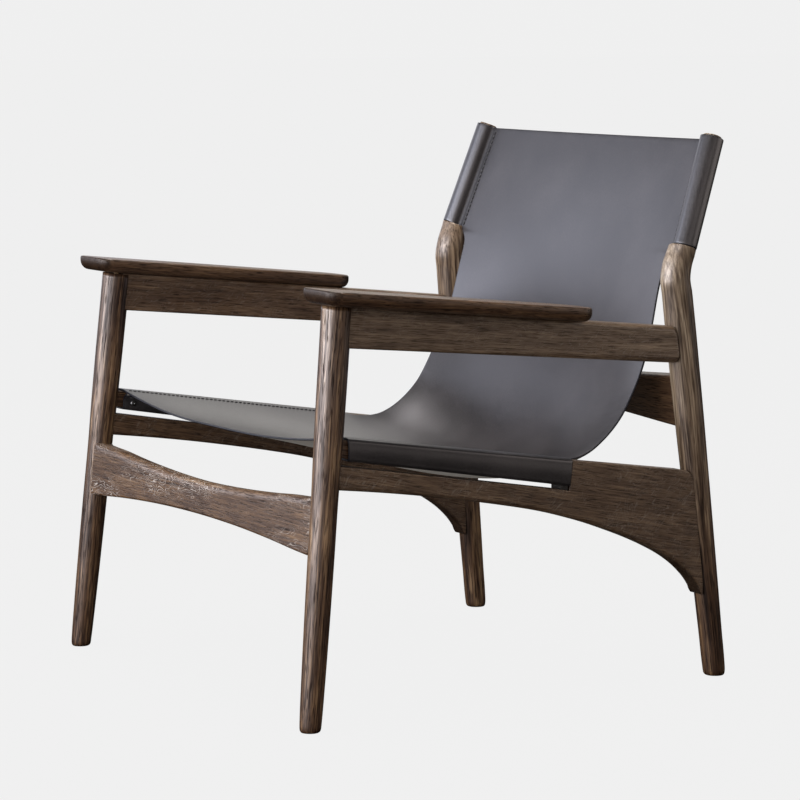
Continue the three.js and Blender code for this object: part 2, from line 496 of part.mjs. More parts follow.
// sleeve round a seat bar, in side-frame coordinates: c is outboard, measured at each y
function seatSleeve() {
  const o = BAR_H + GAP + LEATHER, n = BAR_H + GAP;
  const outer = (y, atStep) => {
    const t = barTop(y) + LEATHER, b = barBot(y) - LEATHER - GAP;
    return [[o, t - 3], [o, b + 3], [o - 3, b], [-o + 2, b], [-o, b + 2], [-o, b + 15.5], [-o - 9, t - 5.5], [-o - 9, t - 3.2], [-o + 2, t], [o - 3, t]]
      .map(([c, z]) => { const w = atStep ? riserY(z) - 0.6 : y; return V(sideX(w, z) + c, w, z); });
  };
  const inner = (y) => {
    const t = barTop(y) + GAP, b = barBot(y) - GAP;
    return [[n, t], [n, b], [-n, b], [-n, b + 14.5], [-n - 4.2, t - 5], [-n, t]].map(([c, z]) => V(sideX(y, z) + c, y, z));
  };
  const rev = (r) => r.slice().reverse();
  const skin = toSolid(loft([rev(outer(SLEEVE_FRONT_Y, false)), rev(outer(SLEEVE_REAR_Y, true))]));
  const hollow = toSolid(loft([rev(inner(SLEEVE_FRONT_Y - 8)), rev(inner(SLEEVE_REAR_Y + 8))]));
  return { skin, hollow };
}
const ps = postSleeve();
const ss = seatSleeve();
const panel = panelSolid();
let sideLeather = ps.tube.add(ps.flange).add(ss.skin);
let sling = panel.add(sideLeather).add(mirrorSolid(sideLeather));
let bores = ps.bore.add(ss.hollow);
for (const y of SCREW_Y) bores = bores.add(screwHole(y, -BAR_H - 8, -BAR_H + 1, 2.0));
bores = bores.add(rearLegGrown);
sling = largest(sling.subtract(bores).subtract(mirrorSolid(bores)));

// ---------------------------------------------------------------- seam threads: one thin run of thread per seam, lying on the leather
const postBack = (() => { const b = new THREE.Vector3().crossVectors(postDir, V(1, 0, 0)).normalize(); return b.y < 0 ? b.negate() : b; })();
const postSide = (() => { const s = new THREE.Vector3().crossVectors(postBack, postDir).normalize(); return s.x < 0 ? s.negate() : s; })();
const backThread = (() => {
  const sec = (s) => {
    const [u, w] = crease(s);
    return [[u - 0.5, w - 1.9], [u + 0.5, w - 1.9], [u + 0.5, w - 1.25], [u - 0.5, w - 1.25]].map(([m, n]) => postAt(s).addScaledVector(postSide, m).addScaledVector(postBack, n));
  };
  return loft([sec(4), sec(147)]);
})();
const seatThread = (() => {
  const sec = (y) => [[-17.5, 2.4], [-16.5, 2.4], [-16.5, 3.0], [-17.5, 3.0]].map(([c, d]) => {
    const e = sideX(y, barTop(y)) + c, z = barTop(y) + d;
    return V(e, y, z);
  });
  return loft([sec(62).reverse(), sec(396).reverse()]);
})();

// ---------------------------------------------------------------- assembly
const chair = new THREE.Group();
chair.name = 'sling_chair';
chair.position.set(0, -Y_CENTRE, 0);
function place(name, geometry, material) {
  const m = new THREE.Mesh(geometry, material);
  m.name = name;
  chair.add(m);
}
function pair(name, solidOrGeometry, material) {
  const g = toGeometry(solidOrGeometry.getMesh ? solidOrGeometry : toSolid(solidOrGeometry));
  place(name + '_left', g, material);
  place(name + '_right', mirror(g), material);
}
pair('front_leg', frontLeg, OAK);
pair('rear_leg', rearLeg, OAK);
pair('arm_rail', armRailDone, OAK);
pair('side_rail', sideRail, OAK);
pair('armrest', armrest, OAK);
pair('seat_bar', seatBar, OAK);
place('front_stretcher', toGeometry(frontStretcher), OAK);
place('rear_stretcher', toGeometry(rearStretcher), OAK);
dowels.forEach((g, i) => pair('armrest_dowel_' + (i + 1), g, DOWEL));
pair('seat_bar_pin', pinSolid, DOWEL);
pair('seat_bar_rest', restBlock, PAD);
pair('sleeve_screw_front', screwGeometry(SCREW_Y[0]), STEEL);
pair('sleeve_screw_rear', screwGeometry(SCREW_Y[1]), STEEL);
place('leather_sling', toGeometry(sling), HIDE);
pair('back_seam_thread', backThread, THREAD);
pair('seat_seam_thread', seatThread, THREAD);

export default chair;
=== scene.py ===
import math

import bpy
import numpy as np
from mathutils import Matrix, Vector


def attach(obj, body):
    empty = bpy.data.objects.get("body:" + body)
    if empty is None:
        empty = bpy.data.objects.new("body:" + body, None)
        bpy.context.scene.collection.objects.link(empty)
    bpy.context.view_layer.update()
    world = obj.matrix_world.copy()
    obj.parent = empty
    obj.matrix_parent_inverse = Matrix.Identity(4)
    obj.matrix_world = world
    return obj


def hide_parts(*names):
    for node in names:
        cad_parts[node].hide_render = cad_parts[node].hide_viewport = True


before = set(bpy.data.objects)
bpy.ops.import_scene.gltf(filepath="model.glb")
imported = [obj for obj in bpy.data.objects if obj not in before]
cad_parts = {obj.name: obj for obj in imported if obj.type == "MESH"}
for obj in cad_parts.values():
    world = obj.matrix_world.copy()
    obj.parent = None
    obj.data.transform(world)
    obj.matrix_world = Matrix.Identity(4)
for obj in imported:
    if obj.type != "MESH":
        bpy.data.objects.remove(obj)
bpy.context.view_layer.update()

# ------------------------------------------------------------------ layout of the chair, in mm, Y = 0 at the front feet
YC = 325.71                      # the layout's footprint centre: subtracted at the end
RNG = np.random.default_rng(7)


def side_x(y, z):
    return 330 - 0.04457 * y - 0.03525 * z


FRONT_RAKE = 0.09855
REAR_FOOT_Y, REAR_RAKE = 646.2, -0.11006
POST_BASE = np.array([289.8, 598.2, 582.4])
POST_TIP = np.array([277.5, 649.8, 724.3])
POST_R, POST_PROUD, SLEEVE_R, HIDE_T = 12.5, 3.2, 16.0, 2.8
POST_LEN = float(np.linalg.norm(POST_TIP - POST_BASE))
POST_DIR = (POST_TIP - POST_BASE) / POST_LEN
POST_BACK = np.cross(POST_DIR, [1, 0, 0])
POST_BACK /= np.linalg.norm(POST_BACK)
if POST_BACK[1] < 0:
    POST_BACK = -POST_BACK
POST_SIDE = np.cross(POST_BACK, POST_DIR)
if POST_SIDE[0] < 0:
    POST_SIDE = -POST_SIDE


def post_at(s):
    return POST_BASE + POST_DIR * s


def arm_top(y):
    return 553.67 - 0.1005 * y


def bar_top(y):
    return 362.3 + 0.15 * 54.5 - 0.15 * y


def bar_bot(y):
    return 339.4 + 0.170 * 54.5 - 0.170 * y


def front_axis(z):
    y = FRONT_RAKE * z
    return np.array([side_x(y, z), y, z])


def rear_axis(z):
    y = REAR_FOOT_Y + REAR_RAKE * z
    return np.array([side_x(y, z), y, z])


# ------------------------------------------------------------------ curves
def hermite(u, p, q):
    """A smooth curve through p at parameters u, read at q."""
    u, p, q = np.asarray(u, float), np.asarray(p, float), np.atleast_1d(np.asarray(q, float))
    flat = p.ndim == 1
    if flat:
        p = p[:, None]
    h = np.diff(u)
    d = np.diff(p, axis=0) / h[:, None]
    m = np.zeros_like(p)
    m[0], m[-1] = d[0], d[-1]
    if len(u) > 2:
        m[1:-1] = (d[:-1] * h[1:, None] + d[1:] * h[:-1, None]) / (h[:-1] + h[1:])[:, None]
    k = np.clip(np.searchsorted(u, q, "right") - 1, 0, len(u) - 2)
    t = ((q - u[k]) / h[k])[:, None]
    hk = h[k][:, None]
    out = (
        (2 * t**3 - 3 * t**2 + 1) * p[k]
        + (t**3 - 2 * t**2 + t) * hk * m[k]
        + (-2 * t**3 + 3 * t**2) * p[k + 1]
        + (t**3 - t**2) * hk * m[k + 1]
    )
    return out[:, 0] if flat else out


def dense(points, step):
    """A smooth curve through 2D or 3D points, with about one point per step."""
    p = np.asarray(points, float)
    u = np.concatenate([[0], np.cumsum(np.linalg.norm(np.diff(p, axis=0), axis=1))])
    q = np.linspace(0, u[-1], max(2, int(round(u[-1] / step)) + 1))
    return hermite(u, p, q)


def fillet(p, q, r, k, n=8):
    """The corner q between p and r, rounded with radius k."""
    p, q, r = (np.asarray(v, float) for v in (p, q, r))
    a, b = p - q, r - q
    a /= np.linalg.norm(a)
    b /= np.linalg.norm(b)
    half = math.acos(float(a @ b)) / 2
    m = (a + b) / np.linalg.norm(a + b)
    c = q + m * k / math.sin(half)
    s, t = q + a * k / math.tan(half) - c, q + b * k / math.tan(half) - c
    a0, a1 = math.atan2(s[1], s[0]), math.atan2(t[1], t[0])
    while a1 - a0 > math.pi:
        a1 -= 2 * math.pi
    while a1 - a0 < -math.pi:
        a1 += 2 * math.pi
    w = np.linspace(a0, a1, n + 1)
    return np.stack([c[0] + k * np.cos(w), c[1] + k * np.sin(w)], 1)


# ------------------------------------------------------------------ meshes
def mesh_object(name, verts, faces, materials, slots=None, attributes=None, smooth=True):
    """verts in layout mm. slots gives a material index for each face."""
    v = np.asarray(verts, float).copy()
    v[:, 1] -= YC
    v /= 1000.0
    me = bpy.data.meshes.new(name)
    me.from_pydata([tuple(x) for x in v], [], [tuple(int(i) for i in f) for f in faces])
    for m in materials:
        me.materials.append(m)
    if slots is not None:
        me.polygons.foreach_set("material_index", np.asarray(slots, np.int32))
    me.polygons.foreach_set("use_smooth", np.full(len(me.polygons), smooth))
    for key, value in (attributes or {}).items():
        a = me.attributes.new(key, "FLOAT_VECTOR", "POINT")
        a.data.foreach_set("vector", np.asarray(value, np.float32).ravel())
    me.validate()
    me.update()
    o = bpy.data.objects.new(name, me)
    bpy.context.scene.collection.objects.link(o)
    return o


def mirrored(verts, faces):
    v = np.asarray(verts, float).copy()
    v[:, 0] *= -1
    return v, [f[::-1] for f in faces]


def loft(rings, cap_start=True, cap_end=True):
    """Faces over rings of equal length; ring points run anticlockwise seen from the last ring."""
    n = len(rings[0])
    verts = np.concatenate([np.asarray(r, float) for r in rings])
    faces = []
    for i in range(len(rings) - 1):
        a = i * n
        for j in range(n):
            k = (j + 1) % n
            faces.append((a + j, a + k, a + n + k, a + n + j))
    if cap_start:
        faces.append(tuple(range(n - 1, -1, -1)))
    if cap_end:
        faces.append(tuple((len(rings) - 1) * n + j for j in range(n)))
    return verts, faces


def ring_axes(t):
    w = np.asarray(t, float) / np.linalg.norm(t)
    u = np.array([1.0, 0, 0]) - w * w[0]
    u /= np.linalg.norm(u)
    return u, np.cross(w, u)


def ring(c, t, ra, rb, n, cut=None):
    """n points about c, normal to t; cut(angle) is taken off the radius."""
    u, v = ring_axes(t)
    a = 2 * math.pi * (np.arange(n) + 0.5) / n
    d = np.zeros(n) if cut is None else np.array([cut(x) for x in a])
    return c + np.outer((ra - d) * np.cos(a), u) + np.outer((rb - d) * np.sin(a), v)


def board(outline, half, place, radius, steps=6):
    """A board with rounded edges. outline is a 2D polygon (anticlockwise), place(a, b, c) gives the points, and
    radius is the edge rounding, one number or one for each outline point."""
    p = np.asarray(outline, float)
    keep = np.linalg.norm(p - np.roll(p, 1, axis=0), axis=1) > 1e-6
    radius = np.broadcast_to(np.asarray(radius, float), (len(p),))[keep]
    p = p[keep]
    q, r = np.roll(p, -1, axis=0), np.roll(p, 1, axis=0)
    area = float((p[:, 0] * q[:, 1] - q[:, 0] * p[:, 1]).sum())
    if area < 0:
        p, radius = p[::-1], radius[::-1]
        q, r = np.roll(p, -1, axis=0), np.roll(p, 1, axis=0)
    e0, e1 = p - r, q - p
    e0 /= np.linalg.norm(e0, axis=1)[:, None]
    e1 /= np.linalg.norm(e1, axis=1)[:, None]
    n0, n1 = np.stack([-e0[:, 1], e0[:, 0]], 1), np.stack([-e1[:, 1], e1[:, 0]], 1)   # inward
    m = n0 + n1
    m /= np.maximum((m * n0).sum(1), 0.35)[:, None]
    turn = np.arctan2(e0[:, 0] * e1[:, 1] - e0[:, 1] * e1[:, 0], (e0 * e1).sum(1))
    size = 0.5 * (np.linalg.norm(p - r, axis=1) + np.linalg.norm(q - p, axis=1))
    tight = np.where(turn > 0.05, 0.6 * size / np.maximum(turn, 0.05), 1e3)
    along = np.concatenate([[0], np.cumsum(np.linalg.norm(q - p, axis=1))])
    gap = np.abs(along[:-1, None] - along[None, :-1])
    gap = np.minimum(gap, along[-1] - gap)
    radius = np.minimum(radius, (tight[None, :] + np.maximum(gap - 1.0, 0) * 0.5).min(1))   # tight corners get less
    radius = np.minimum(radius, half * 0.98)
    w = np.linspace(0, math.pi / 2, steps + 1)
    layers = [(-half * np.ones(len(p)), radius + 0.12)]
    layers += [(-half + radius * (1 - math.cos(x)), radius * (1 - math.sin(x))) for x in w]
    layers += [(-c, i) for c, i in layers[::-1]]
    rings = []
    for c, inset in layers:
        s = p + m * inset[:, None]
        rings.append(np.stack([s[:, 0], s[:, 1], c], 1))
    flat = np.concatenate(rings)
    verts = place(flat[:, 0], flat[:, 1], flat[:, 2])
    n = len(p)
    faces = []
    for i in range(len(rings) - 1):
        a = i * n
        for j in range(n):
            k = (j + 1) % n
            faces.append((a + j, a + k, a + n + k, a + n + j))
    faces.append(tuple(range(n - 1, -1, -1)))
    faces.append(tuple((len(rings) - 1) * n + j for j in range(n)))
    return verts, faces, flat


def turned_out(verts, faces):
    """The faces, turned round if they point inwards."""
    v = np.asarray(verts)
    vol = 0.0
    for f in faces:
        a = v[f[0]]
        for i in range(1, len(f) - 1):
            vol += float(a @ np.cross(v[f[i]], v[f[i + 1]]))
    return faces if vol > 0 else [f[::-1] for f in faces]


# ------------------------------------------------------------------ node helper for materials
class Nodes:
    def __init__(self, name):
        self.mat = bpy.data.materials.new(name)
        self.mat.use_nodes = True
        self.nt = self.mat.node_tree
        self.nt.nodes.clear()

    def add(self, kind, inputs=None, **props):
        n = self.nt.nodes.new(kind)
        for k, v in props.items():
            setattr(n, k, v)
        for k, v in (inputs or {}).items():
            if isinstance(v, bpy.types.NodeSocket):
                self.nt.links.new(v, n.inputs[k])
            else:
                n.inputs[k].default_value = v
        return n

    def math(self, op, a, b=None, c=None, clamp=False):
        ins = {0: a}
        if b is not None:
            ins[1] = b
        if c is not None:
            ins[2] = c
        return self.add("ShaderNodeMath", ins, operation=op, use_clamp=clamp).outputs[0]

    def vec(self, op, a, b=None):
        ins = {0: a}
        if b is not None:
            ins[1] = b
        return self.add("ShaderNodeVectorMath", ins, operation=op).outputs[0]

    def noise(self, vector, scale=1.0, detail=2.0, rough=0.5, distortion=0.0):
        return self.add(
            "ShaderNodeTexNoise",
            {"Vector": vector, "Scale": scale, "Detail": detail, "Roughness": rough, "Distortion": distortion},
        ).outputs["Fac"]

    def range(self, value, lo, hi, a=0.0, b=1.0, smooth=True):
        return self.add(
            "ShaderNodeMapRange",
            {"Value": value, "From Min": lo, "From Max": hi, "To Min": a, "To Max": b},
            interpolation_type="SMOOTHSTEP" if smooth else "LINEAR",
        ).outputs[0]

    def mix(self, fac, a, b):
        n = self.add("ShaderNodeMix", data_type="RGBA")
        for sock, v in ((n.inputs[0], fac), (n.inputs[6], a), (n.inputs[7], b)):
            if isinstance(v, bpy.types.NodeSocket):
                self.nt.links.new(v, sock)
            else:
                sock.default_value = v
        return n.outputs[2]

    def ramp(self, value, stops):
        n = self.add("ShaderNodeValToRGB", {"Fac": value})
        e = n.color_ramp.elements
        while len(e) < len(stops):
            e.new(0.5)
        for el, (pos, col) in zip(e, stops):
            el.position = pos
            el.color = (*col, 1.0)
        return n.outputs["Color"]

    def bump(self, height, distance, strength=1.0, normal=None):
        ins = {"Height": height, "Distance": distance, "Strength": strength}
        if normal is not None:
            ins["Normal"] = normal
        return self.add("ShaderNodeBump", ins).outputs["Normal"]

    def finish(self, color, rough, normal=None, shine=None, **sockets):
        p = self.add("ShaderNodeBsdfPrincipled")
        for k, v in (("Base Color", color), ("Roughness", rough), ("Normal", normal), ("Specular IOR Level", shine)):
            if v is None:
                continue
            if isinstance(v, bpy.types.NodeSocket):
                self.nt.links.new(v, p.inputs[k])
            else:
                p.inputs[k].default_value = v
        for k, v in sockets.items():
            p.inputs[k.replace("_", " ")].default_value = v
        out = self.add("ShaderNodeOutputMaterial")
        self.nt.links.new(p.outputs[0], out.inputs["Surface"])
        return self.mat


def rgb(r, g, b):
    return (r, g, b, 1.0)


def oak_material():
    n = Nodes("smoked_oak")
    g = n.add("ShaderNodeAttribute", attribute_name="grain").outputs["Vector"]
    f = n.add("ShaderNodeAttribute", attribute_name="fleck").outputs["Vector"]
    # slow wander of the growth rings
    wander = n.noise(n.vec("MULTIPLY", g, (3.0, 16.0, 16.0)), 1.0, 2.0, 0.5)
    shift = n.math("MULTIPLY", n.math("SUBTRACT", wander, 0.5), 0.014)
    moved = n.vec("ADD", g, n.add("ShaderNodeCombineXYZ", {"X": 0.0, "Y": shift, "Z": shift}).outputs[0])
    streak = n.noise(n.vec("MULTIPLY", moved, (9.0, 330.0, 260.0)), 1.0, 3.0, 0.62)
    broad = n.noise(n.vec("MULTIPLY", moved, (3.5, 70.0, 55.0)), 1.0, 2.0, 0.5)
    cloud = n.noise(n.vec("MULTIPLY", g, (9.0, 30.0, 30.0)), 1.0, 2.0, 0.6)
    fine = n.noise(n.vec("MULTIPLY", moved, (28.0, 620.0, 620.0)), 1.0, 1.0, 0.6)
    tone = n.math("ADD", n.math("MULTIPLY", streak, 0.55), n.math("MULTIPLY", broad, 0.27))
    tone = n.math("ADD", tone, n.math("MULTIPLY", cloud, 0.18))
    look = n.add("ShaderNodeSeparateXYZ", {0: n.add("ShaderNodeAttribute", attribute_name="look").outputs["Vector"]})
    amount, sap_and_painted_light, quiet = look.outputs[0], look.outputs[1], look.outputs[2]
    calm = n.math("SUBTRACT", 1.0, n.math("MULTIPLY", quiet, 0.55))
    tone = n.math("ADD", n.math("MULTIPLY", n.math("SUBTRACT", tone, 0.5), calm), 0.5)
    base = n.ramp(
        tone,
        [
            (0.38, (0.012, 0.0052, 0.0028)),
            (0.465, (0.040, 0.0180, 0.0080)),
            (0.535, (0.092, 0.0470, 0.0205)),
            (0.62, (0.230, 0.1400, 0.0700)),
        ],
    )
    pale = n.ramp(
        tone,
        [
            (0.39, (0.026, 0.015, 0.008)),
            (0.465, (0.092, 0.060, 0.036)),
            (0.535, (0.225, 0.168, 0.112)),
            (0.61, (0.400, 0.325, 0.240)),
        ],
    )
    # pale sapwood tone; on the rear legs the same amount also carries painted light and painted shade
    base = n.mix(sap_and_painted_light, base, pale)
    # open pores: short dark dashes along the grain
    pore = n.range(fine, 0.53, 0.66)
    pore = n.math("MULTIPLY", pore, n.math("SUBTRACT", 1.0, n.math("MULTIPLY", sap_and_painted_light, 0.65)))
    base = n.mix(n.math("MULTIPLY", pore, 0.8), base, rgb(0.008, 0.004, 0.0025))
    # ray flecks: thin pale wavy lines
    field = n.noise(n.vec("MULTIPLY", f, (26.0, 82.0, 82.0)), 1.0, 1.0, 0.45)
    line = n.math("ABSOLUTE", n.math("SUBTRACT", n.math("FRACT", n.math("MULTIPLY", field, 13.0)), 0.5))
    line = n.range(line, 0.0, 0.16, 1.0, 0.0)
    patch = n.range(n.noise(n.vec("MULTIPLY", f, (48.0, 100.0, 100.0)), 1.0, 1.0, 0.5), 0.36, 0.52)
    where = n.range(n.noise(n.vec("MULTIPLY", f, (9.0, 16.0, 16.0)), 1.0, 1.0, 0.5), 0.34, 0.54)
    fleck = n.math("MULTIPLY", n.math("MULTIPLY", n.math("MULTIPLY", line, patch), where), amount)
    base = n.mix(n.math("MULTIPLY", fleck, 0.85), base, rgb(0.36, 0.315, 0.28))
    # wood cut across its grain takes the stain darker
    across_ = n.add("ShaderNodeSeparateXYZ", {0: n.add("ShaderNodeAttribute", attribute_name="cut").outputs["Vector"]}).outputs[0]
    across_ = n.range(across_, 0.10, 0.50)
    base = n.mix(n.math("MULTIPLY", across_, 0.75), base, rgb(0.006, 0.003, 0.002))
    rough = n.range(tone, 0.38, 0.62, 0.42, 0.32, smooth=False)
    rough = n.math("ADD", rough, n.math("MULTIPLY", pore, 0.2))
    shine = n.range(tone, 0.38, 0.62, 0.45, 1.35, smooth=False)
    shine = n.math("MULTIPLY", shine, n.math("SUBTRACT", 1.0, n.math("MULTIPLY", pore, 0.75)))
    shine = n.math("MULTIPLY", shine, n.math("SUBTRACT", 1.0, n.math("MULTIPLY", across_, 0.6)))
    height = n.math("SUBTRACT", n.math("MULTIPLY", streak, 0.5), n.math("MULTIPLY", pore, 0.7))
    height = n.math("MULTIPLY", height, n.math("SUBTRACT", 1.0, n.math("MULTIPLY", sap_and_painted_light, 0.6)))
    normal = n.bump(height, 0.0002, 0.6)
    return n.finish(base, rough, normal, shine=shine, Specular_Tint=rgb(1.0, 0.94, 0.92))


def end_oak_material():
    n = Nodes("oak_end_grain")
    g = n.add("ShaderNodeAttribute", attribute_name="grain").outputs["Vector"]
    rings = n.noise(n.vec("MULTIPLY", g, (1.0, 420.0, 90.0)), 1.0, 2.0, 0.5)
    dots = n.noise(n.vec("MULTIPLY", g, (1.0, 1500.0, 1500.0)), 1.0, 1.0, 0.5)
    col = n.ramp(rings, [(0.3, (0.16, 0.105, 0.066)), (0.7, (0.36, 0.26, 0.175))])
    col = n.mix(n.range(dots, 0.55, 0.66), col, rgb(0.03, 0.02, 0.014))
    return n.finish(col, 0.6, n.bump(dots, 0.0001, 0.4))


def hide_material():
    n = Nodes("saddle_leather")
    c = n.add("ShaderNodeTexCoord").outputs["Object"]
    warp = n.add("ShaderNodeTexNoise", {"Vector": c, "Scale": 260.0, "Detail": 1.0})
    moved = n.vec("ADD", c, n.vec("SCALE", warp.outputs["Color"]))
    moved.node.inputs[1].links[0].from_node.inputs["Scale"].default_value = 0.0012
    cells = n.add(
        "ShaderNodeTexVoronoi", {"Vector": moved, "Scale": 620.0}, feature="SMOOTH_F1"
    ).outputs["Distance"]
    cells2 = n.add("ShaderNodeTexVoronoi", {"Vector": moved, "Scale": 1500.0}, feature="F1").outputs["Distance"]
    cloud = n.noise(c, 9.0, 3.0, 0.55)
    speck = n.noise(c, 380.0, 2.0, 0.7)
    tone = n.math("ADD", n.math("MULTIPLY", cloud, 0.6), n.math("MULTIPLY", speck, 0.4))
    base = n.ramp(tone, [(0.40, (0.008, 0.0070, 0.0074)), (0.5, (0.0145, 0.0128, 0.0130)), (0.60, (0.025, 0.0222, 0.023))])
    rough = n.range(speck, 0.3, 0.7, 0.29, 0.36, smooth=False)
    painted_seam_shade_ = n.add("ShaderNodeSeparateXYZ", {0: n.add("ShaderNodeAttribute", attribute_name="painted_seam_shade").outputs["Vector"]}).outputs[0]
    # painted shade: the reflection is turned down on the sleeve's fillet and strip beside the seam, and turned up again
    # right by the stitched line as a painted highlight between the stitches
    shine = n.math("SUBTRACT", 1.0, n.math("MULTIPLY", n.range(painted_seam_shade_, 0.15, 0.60), 0.72))
    shine = n.math("ADD", shine, n.math("MULTIPLY", n.range(painted_seam_shade_, 0.86, 1.0), 0.50))
    height = n.math("ADD", n.math("MULTIPLY", cells, 0.75), n.math("MULTIPLY", cells2, 0.35))
    normal = n.bump(height, 0.00012, 0.44)
    normal = n.bump(cloud, 0.0006, 0.12, normal)
    return n.finish(base, rough, normal, shine=shine, IOR=1.6, Specular_Tint=rgb(0.935, 0.925, 1.0))


def edge_material():
    n = Nodes("dyed_edge")
    c = n.add("ShaderNodeTexCoord").outputs["Object"]
    t = n.noise(c, 300.0, 2.0, 0.6)
    base = n.ramp(t, [(0.35, (0.005, 0.005, 0.008)), (0.65, (0.012, 0.012, 0.018))])
    return n.finish(base, 0.45, n.bump(t, 0.0002, 0.4), Specular_IOR_Level=0.35)


def flesh_material():
    n = Nodes("hide_flesh_side")
    c = n.add("ShaderNodeTexCoord").outputs["Object"]
    a = n.noise(c, 60.0, 4.0, 0.65)
    b = n.noise(c, 900.0, 3.0, 0.7)
    base = n.ramp(a, [(0.3, (0.40, 0.375, 0.34)), (0.7, (0.54, 0.51, 0.47))])
    base = n.mix(n.math("MULTIPLY", n.range(b, 0.4, 0.65), 0.35), base, rgb(0.30, 0.275, 0.24))
    return n.finish(base, 0.92, n.bump(b, 0.0004, 0.6), Specular_IOR_Level=0.2)


def thread_material():
    n = Nodes("waxed_thread")
    g = n.add("ShaderNodeAttribute", attribute_name="grain").outputs["Vector"]
    sep = n.add("ShaderNodeSeparateXYZ", {0: g})
    twist = n.math("SINE", n.math("ADD", n.math("MULTIPLY", sep.outputs[0], 9000.0), n.math("MULTIPLY", sep.outputs[1], 6.283)))
    base = n.ramp(n.math("MULTIPLY_ADD", twist, 0.5, 0.5), [(0.1, (0.006, 0.006, 0.008)), (0.9, (0.020, 0.020, 0.024))])
    return n.finish(base, 0.55, n.bump(twist, 0.0001, 0.5))


def steel_material():
    n = Nodes("dark_steel")
    c = n.add("ShaderNodeTexCoord").outputs["Object"]
    t = n.noise(n.vec("MULTIPLY", c, (1.0, 900.0, 900.0)), 1.0, 2.0, 0.5)
    base = n.ramp(t, [(0.3, (0.16, 0.16, 0.165)), (0.7, (0.28, 0.28, 0.285))])
    rough = n.range(t, 0.3, 0.7, 0.28, 0.42, smooth=False)
    return n.finish(base, rough, None, Metallic=1.0)


def pad_material():
    n = Nodes("rubber_pad")
    c = n.add("ShaderNodeTexCoord").outputs["Object"]
    t = n.noise(c, 500.0, 3.0, 0.6)
    base = n.ramp(t, [(0.3, (0.010, 0.009, 0.009)), (0.7, (0.022, 0.020, 0.019))])
    return n.finish(base, 0.75, n.bump(t, 0.0003, 0.5))


def beech_material():
    n = Nodes("bare_beech")
    c = n.add("ShaderNodeTexCoord").outputs["Object"]
    t = n.noise(n.vec("MULTIPLY", c, (400.0, 400.0, 40.0)), 1.0, 3.0, 0.6)
    base = n.ramp(t, [(0.3, (0.33, 0.20, 0.10)), (0.7, (0.50, 0.34, 0.19))])
    return n.finish(base, 0.6, n.bump(t, 0.0002, 0.4))


OAK, OAK_END = oak_material(), end_oak_material()
HIDE, EDGE, FLESH = hide_material(), edge_material(), flesh_material()
THREAD, STEEL, PAD, BEECH = thread_material(), steel_material(), pad_material(), beech_material()


# ------------------------------------------------------------------ placing pieces
def rides(o, slot, *nodes):
    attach(o, "root")
    if nodes:
        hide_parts(*nodes)
    return o


def wood(name, verts, faces, along, across, node, fleck_angle=0.0, extra_slots=None, rays=0.0, sap_and_painted_light=0.0, quiet=0.0, fine=1.0):
    """A wooden piece for each node in node (the second is the mirror image). along and across are the directions of the
    grain and of the growth rings' radius, in layout space."""
    faces = turned_out(verts, faces)
    along = np.asarray(along, float) / np.linalg.norm(along)
    across = np.asarray(across, float)
    across = across - along * (across @ along)
    across /= np.linalg.norm(across)
    third = np.cross(along, across)
    boards = np.ndim(quiet) == 0 and quiet > 0
    for k, target in enumerate(node if isinstance(node, (list, tuple)) else [node]):
        v, f = (np.asarray(verts, float), faces) if k == 0 else mirrored(verts, faces)
        rel = np.asarray(verts, float) / 1000.0 * fine
        pale = np.broadcast_to(np.asarray(sap_and_painted_light, float) * (1.0 if k == 0 else 0.38), (len(v),))
        grain = np.stack([rel @ along, rel @ across, rel @ third], 1) + RNG.uniform(1, 9, 3)
        c, s = math.cos(fleck_angle), math.sin(fleck_angle)
        fleck = np.stack([grain[:, 0] * c + grain[:, 1] * s, -grain[:, 0] * s + grain[:, 1] * c, grain[:, 2]], 1)
        o = mesh_object("oak_" + target, v, f, [OAK, OAK_END], extra_slots,
                        {"grain": grain, "fleck": fleck / fine, "look": np.stack([np.full(len(v), rays), pale, np.broadcast_to(np.asarray(quiet, float), (len(v),))], 1)})
        nrm = np.zeros(len(v) * 3)
        o.data.vertices.foreach_get("normal", nrm)
        cut_ = np.abs(nrm.reshape(-1, 3) @ (along * (1, 1, 1) if k == 0 else along * (-1, 1, 1))) if boards else np.zeros(len(v))
        a_ = o.data.attributes.new("cut", "FLOAT_VECTOR", "POINT")
        a_.data.foreach_set("vector", np.repeat(cut_, 3).astype(np.float32))
        rides(o, "oak", target)


# ------------------------------------------------------------------ legs
N_LEG = 72
FRONT_PROFILE = np.array([[0, 11.3], [0.5, 12.0], [1.2, 12.6], [2.2, 13.1], [3.5, 13.4], [7, 13.75], [12, 13.95], [64, 15.15], [122, 16.0],
                          [210, 16.8], [290, 17.1], [350, 18.2], [420, 18.9], [480, 19.1], [545, 19.5]])
zs = np.concatenate([[0, 0.5, 1.2, 2.2, 3.5, 5, 7, 9.5, 12], np.arange(18, 532.5, 6.0)])
rs = hermite(FRONT_PROFILE[:, 0], FRONT_PROFILE[:, 1], zs)
t_front = front_axis(1) - front_axis(0)
rings = [ring(front_axis(z), t_front, r, r, N_LEG) for z, r in zip(zs, rs)]
for i, z in enumerate(zs[:6]):
    tilt = rings[i][:, 2] - z
    rings[i][:, 2] = z + tilt * (z / 5.0 if z < 5 else 1.0)
v, f = loft(rings)
wood("front_leg", v, f, t_front, (0.35, 1, 0), ["front_leg_left", "front_leg_right"], fleck_angle=0.0, fine=1.25)

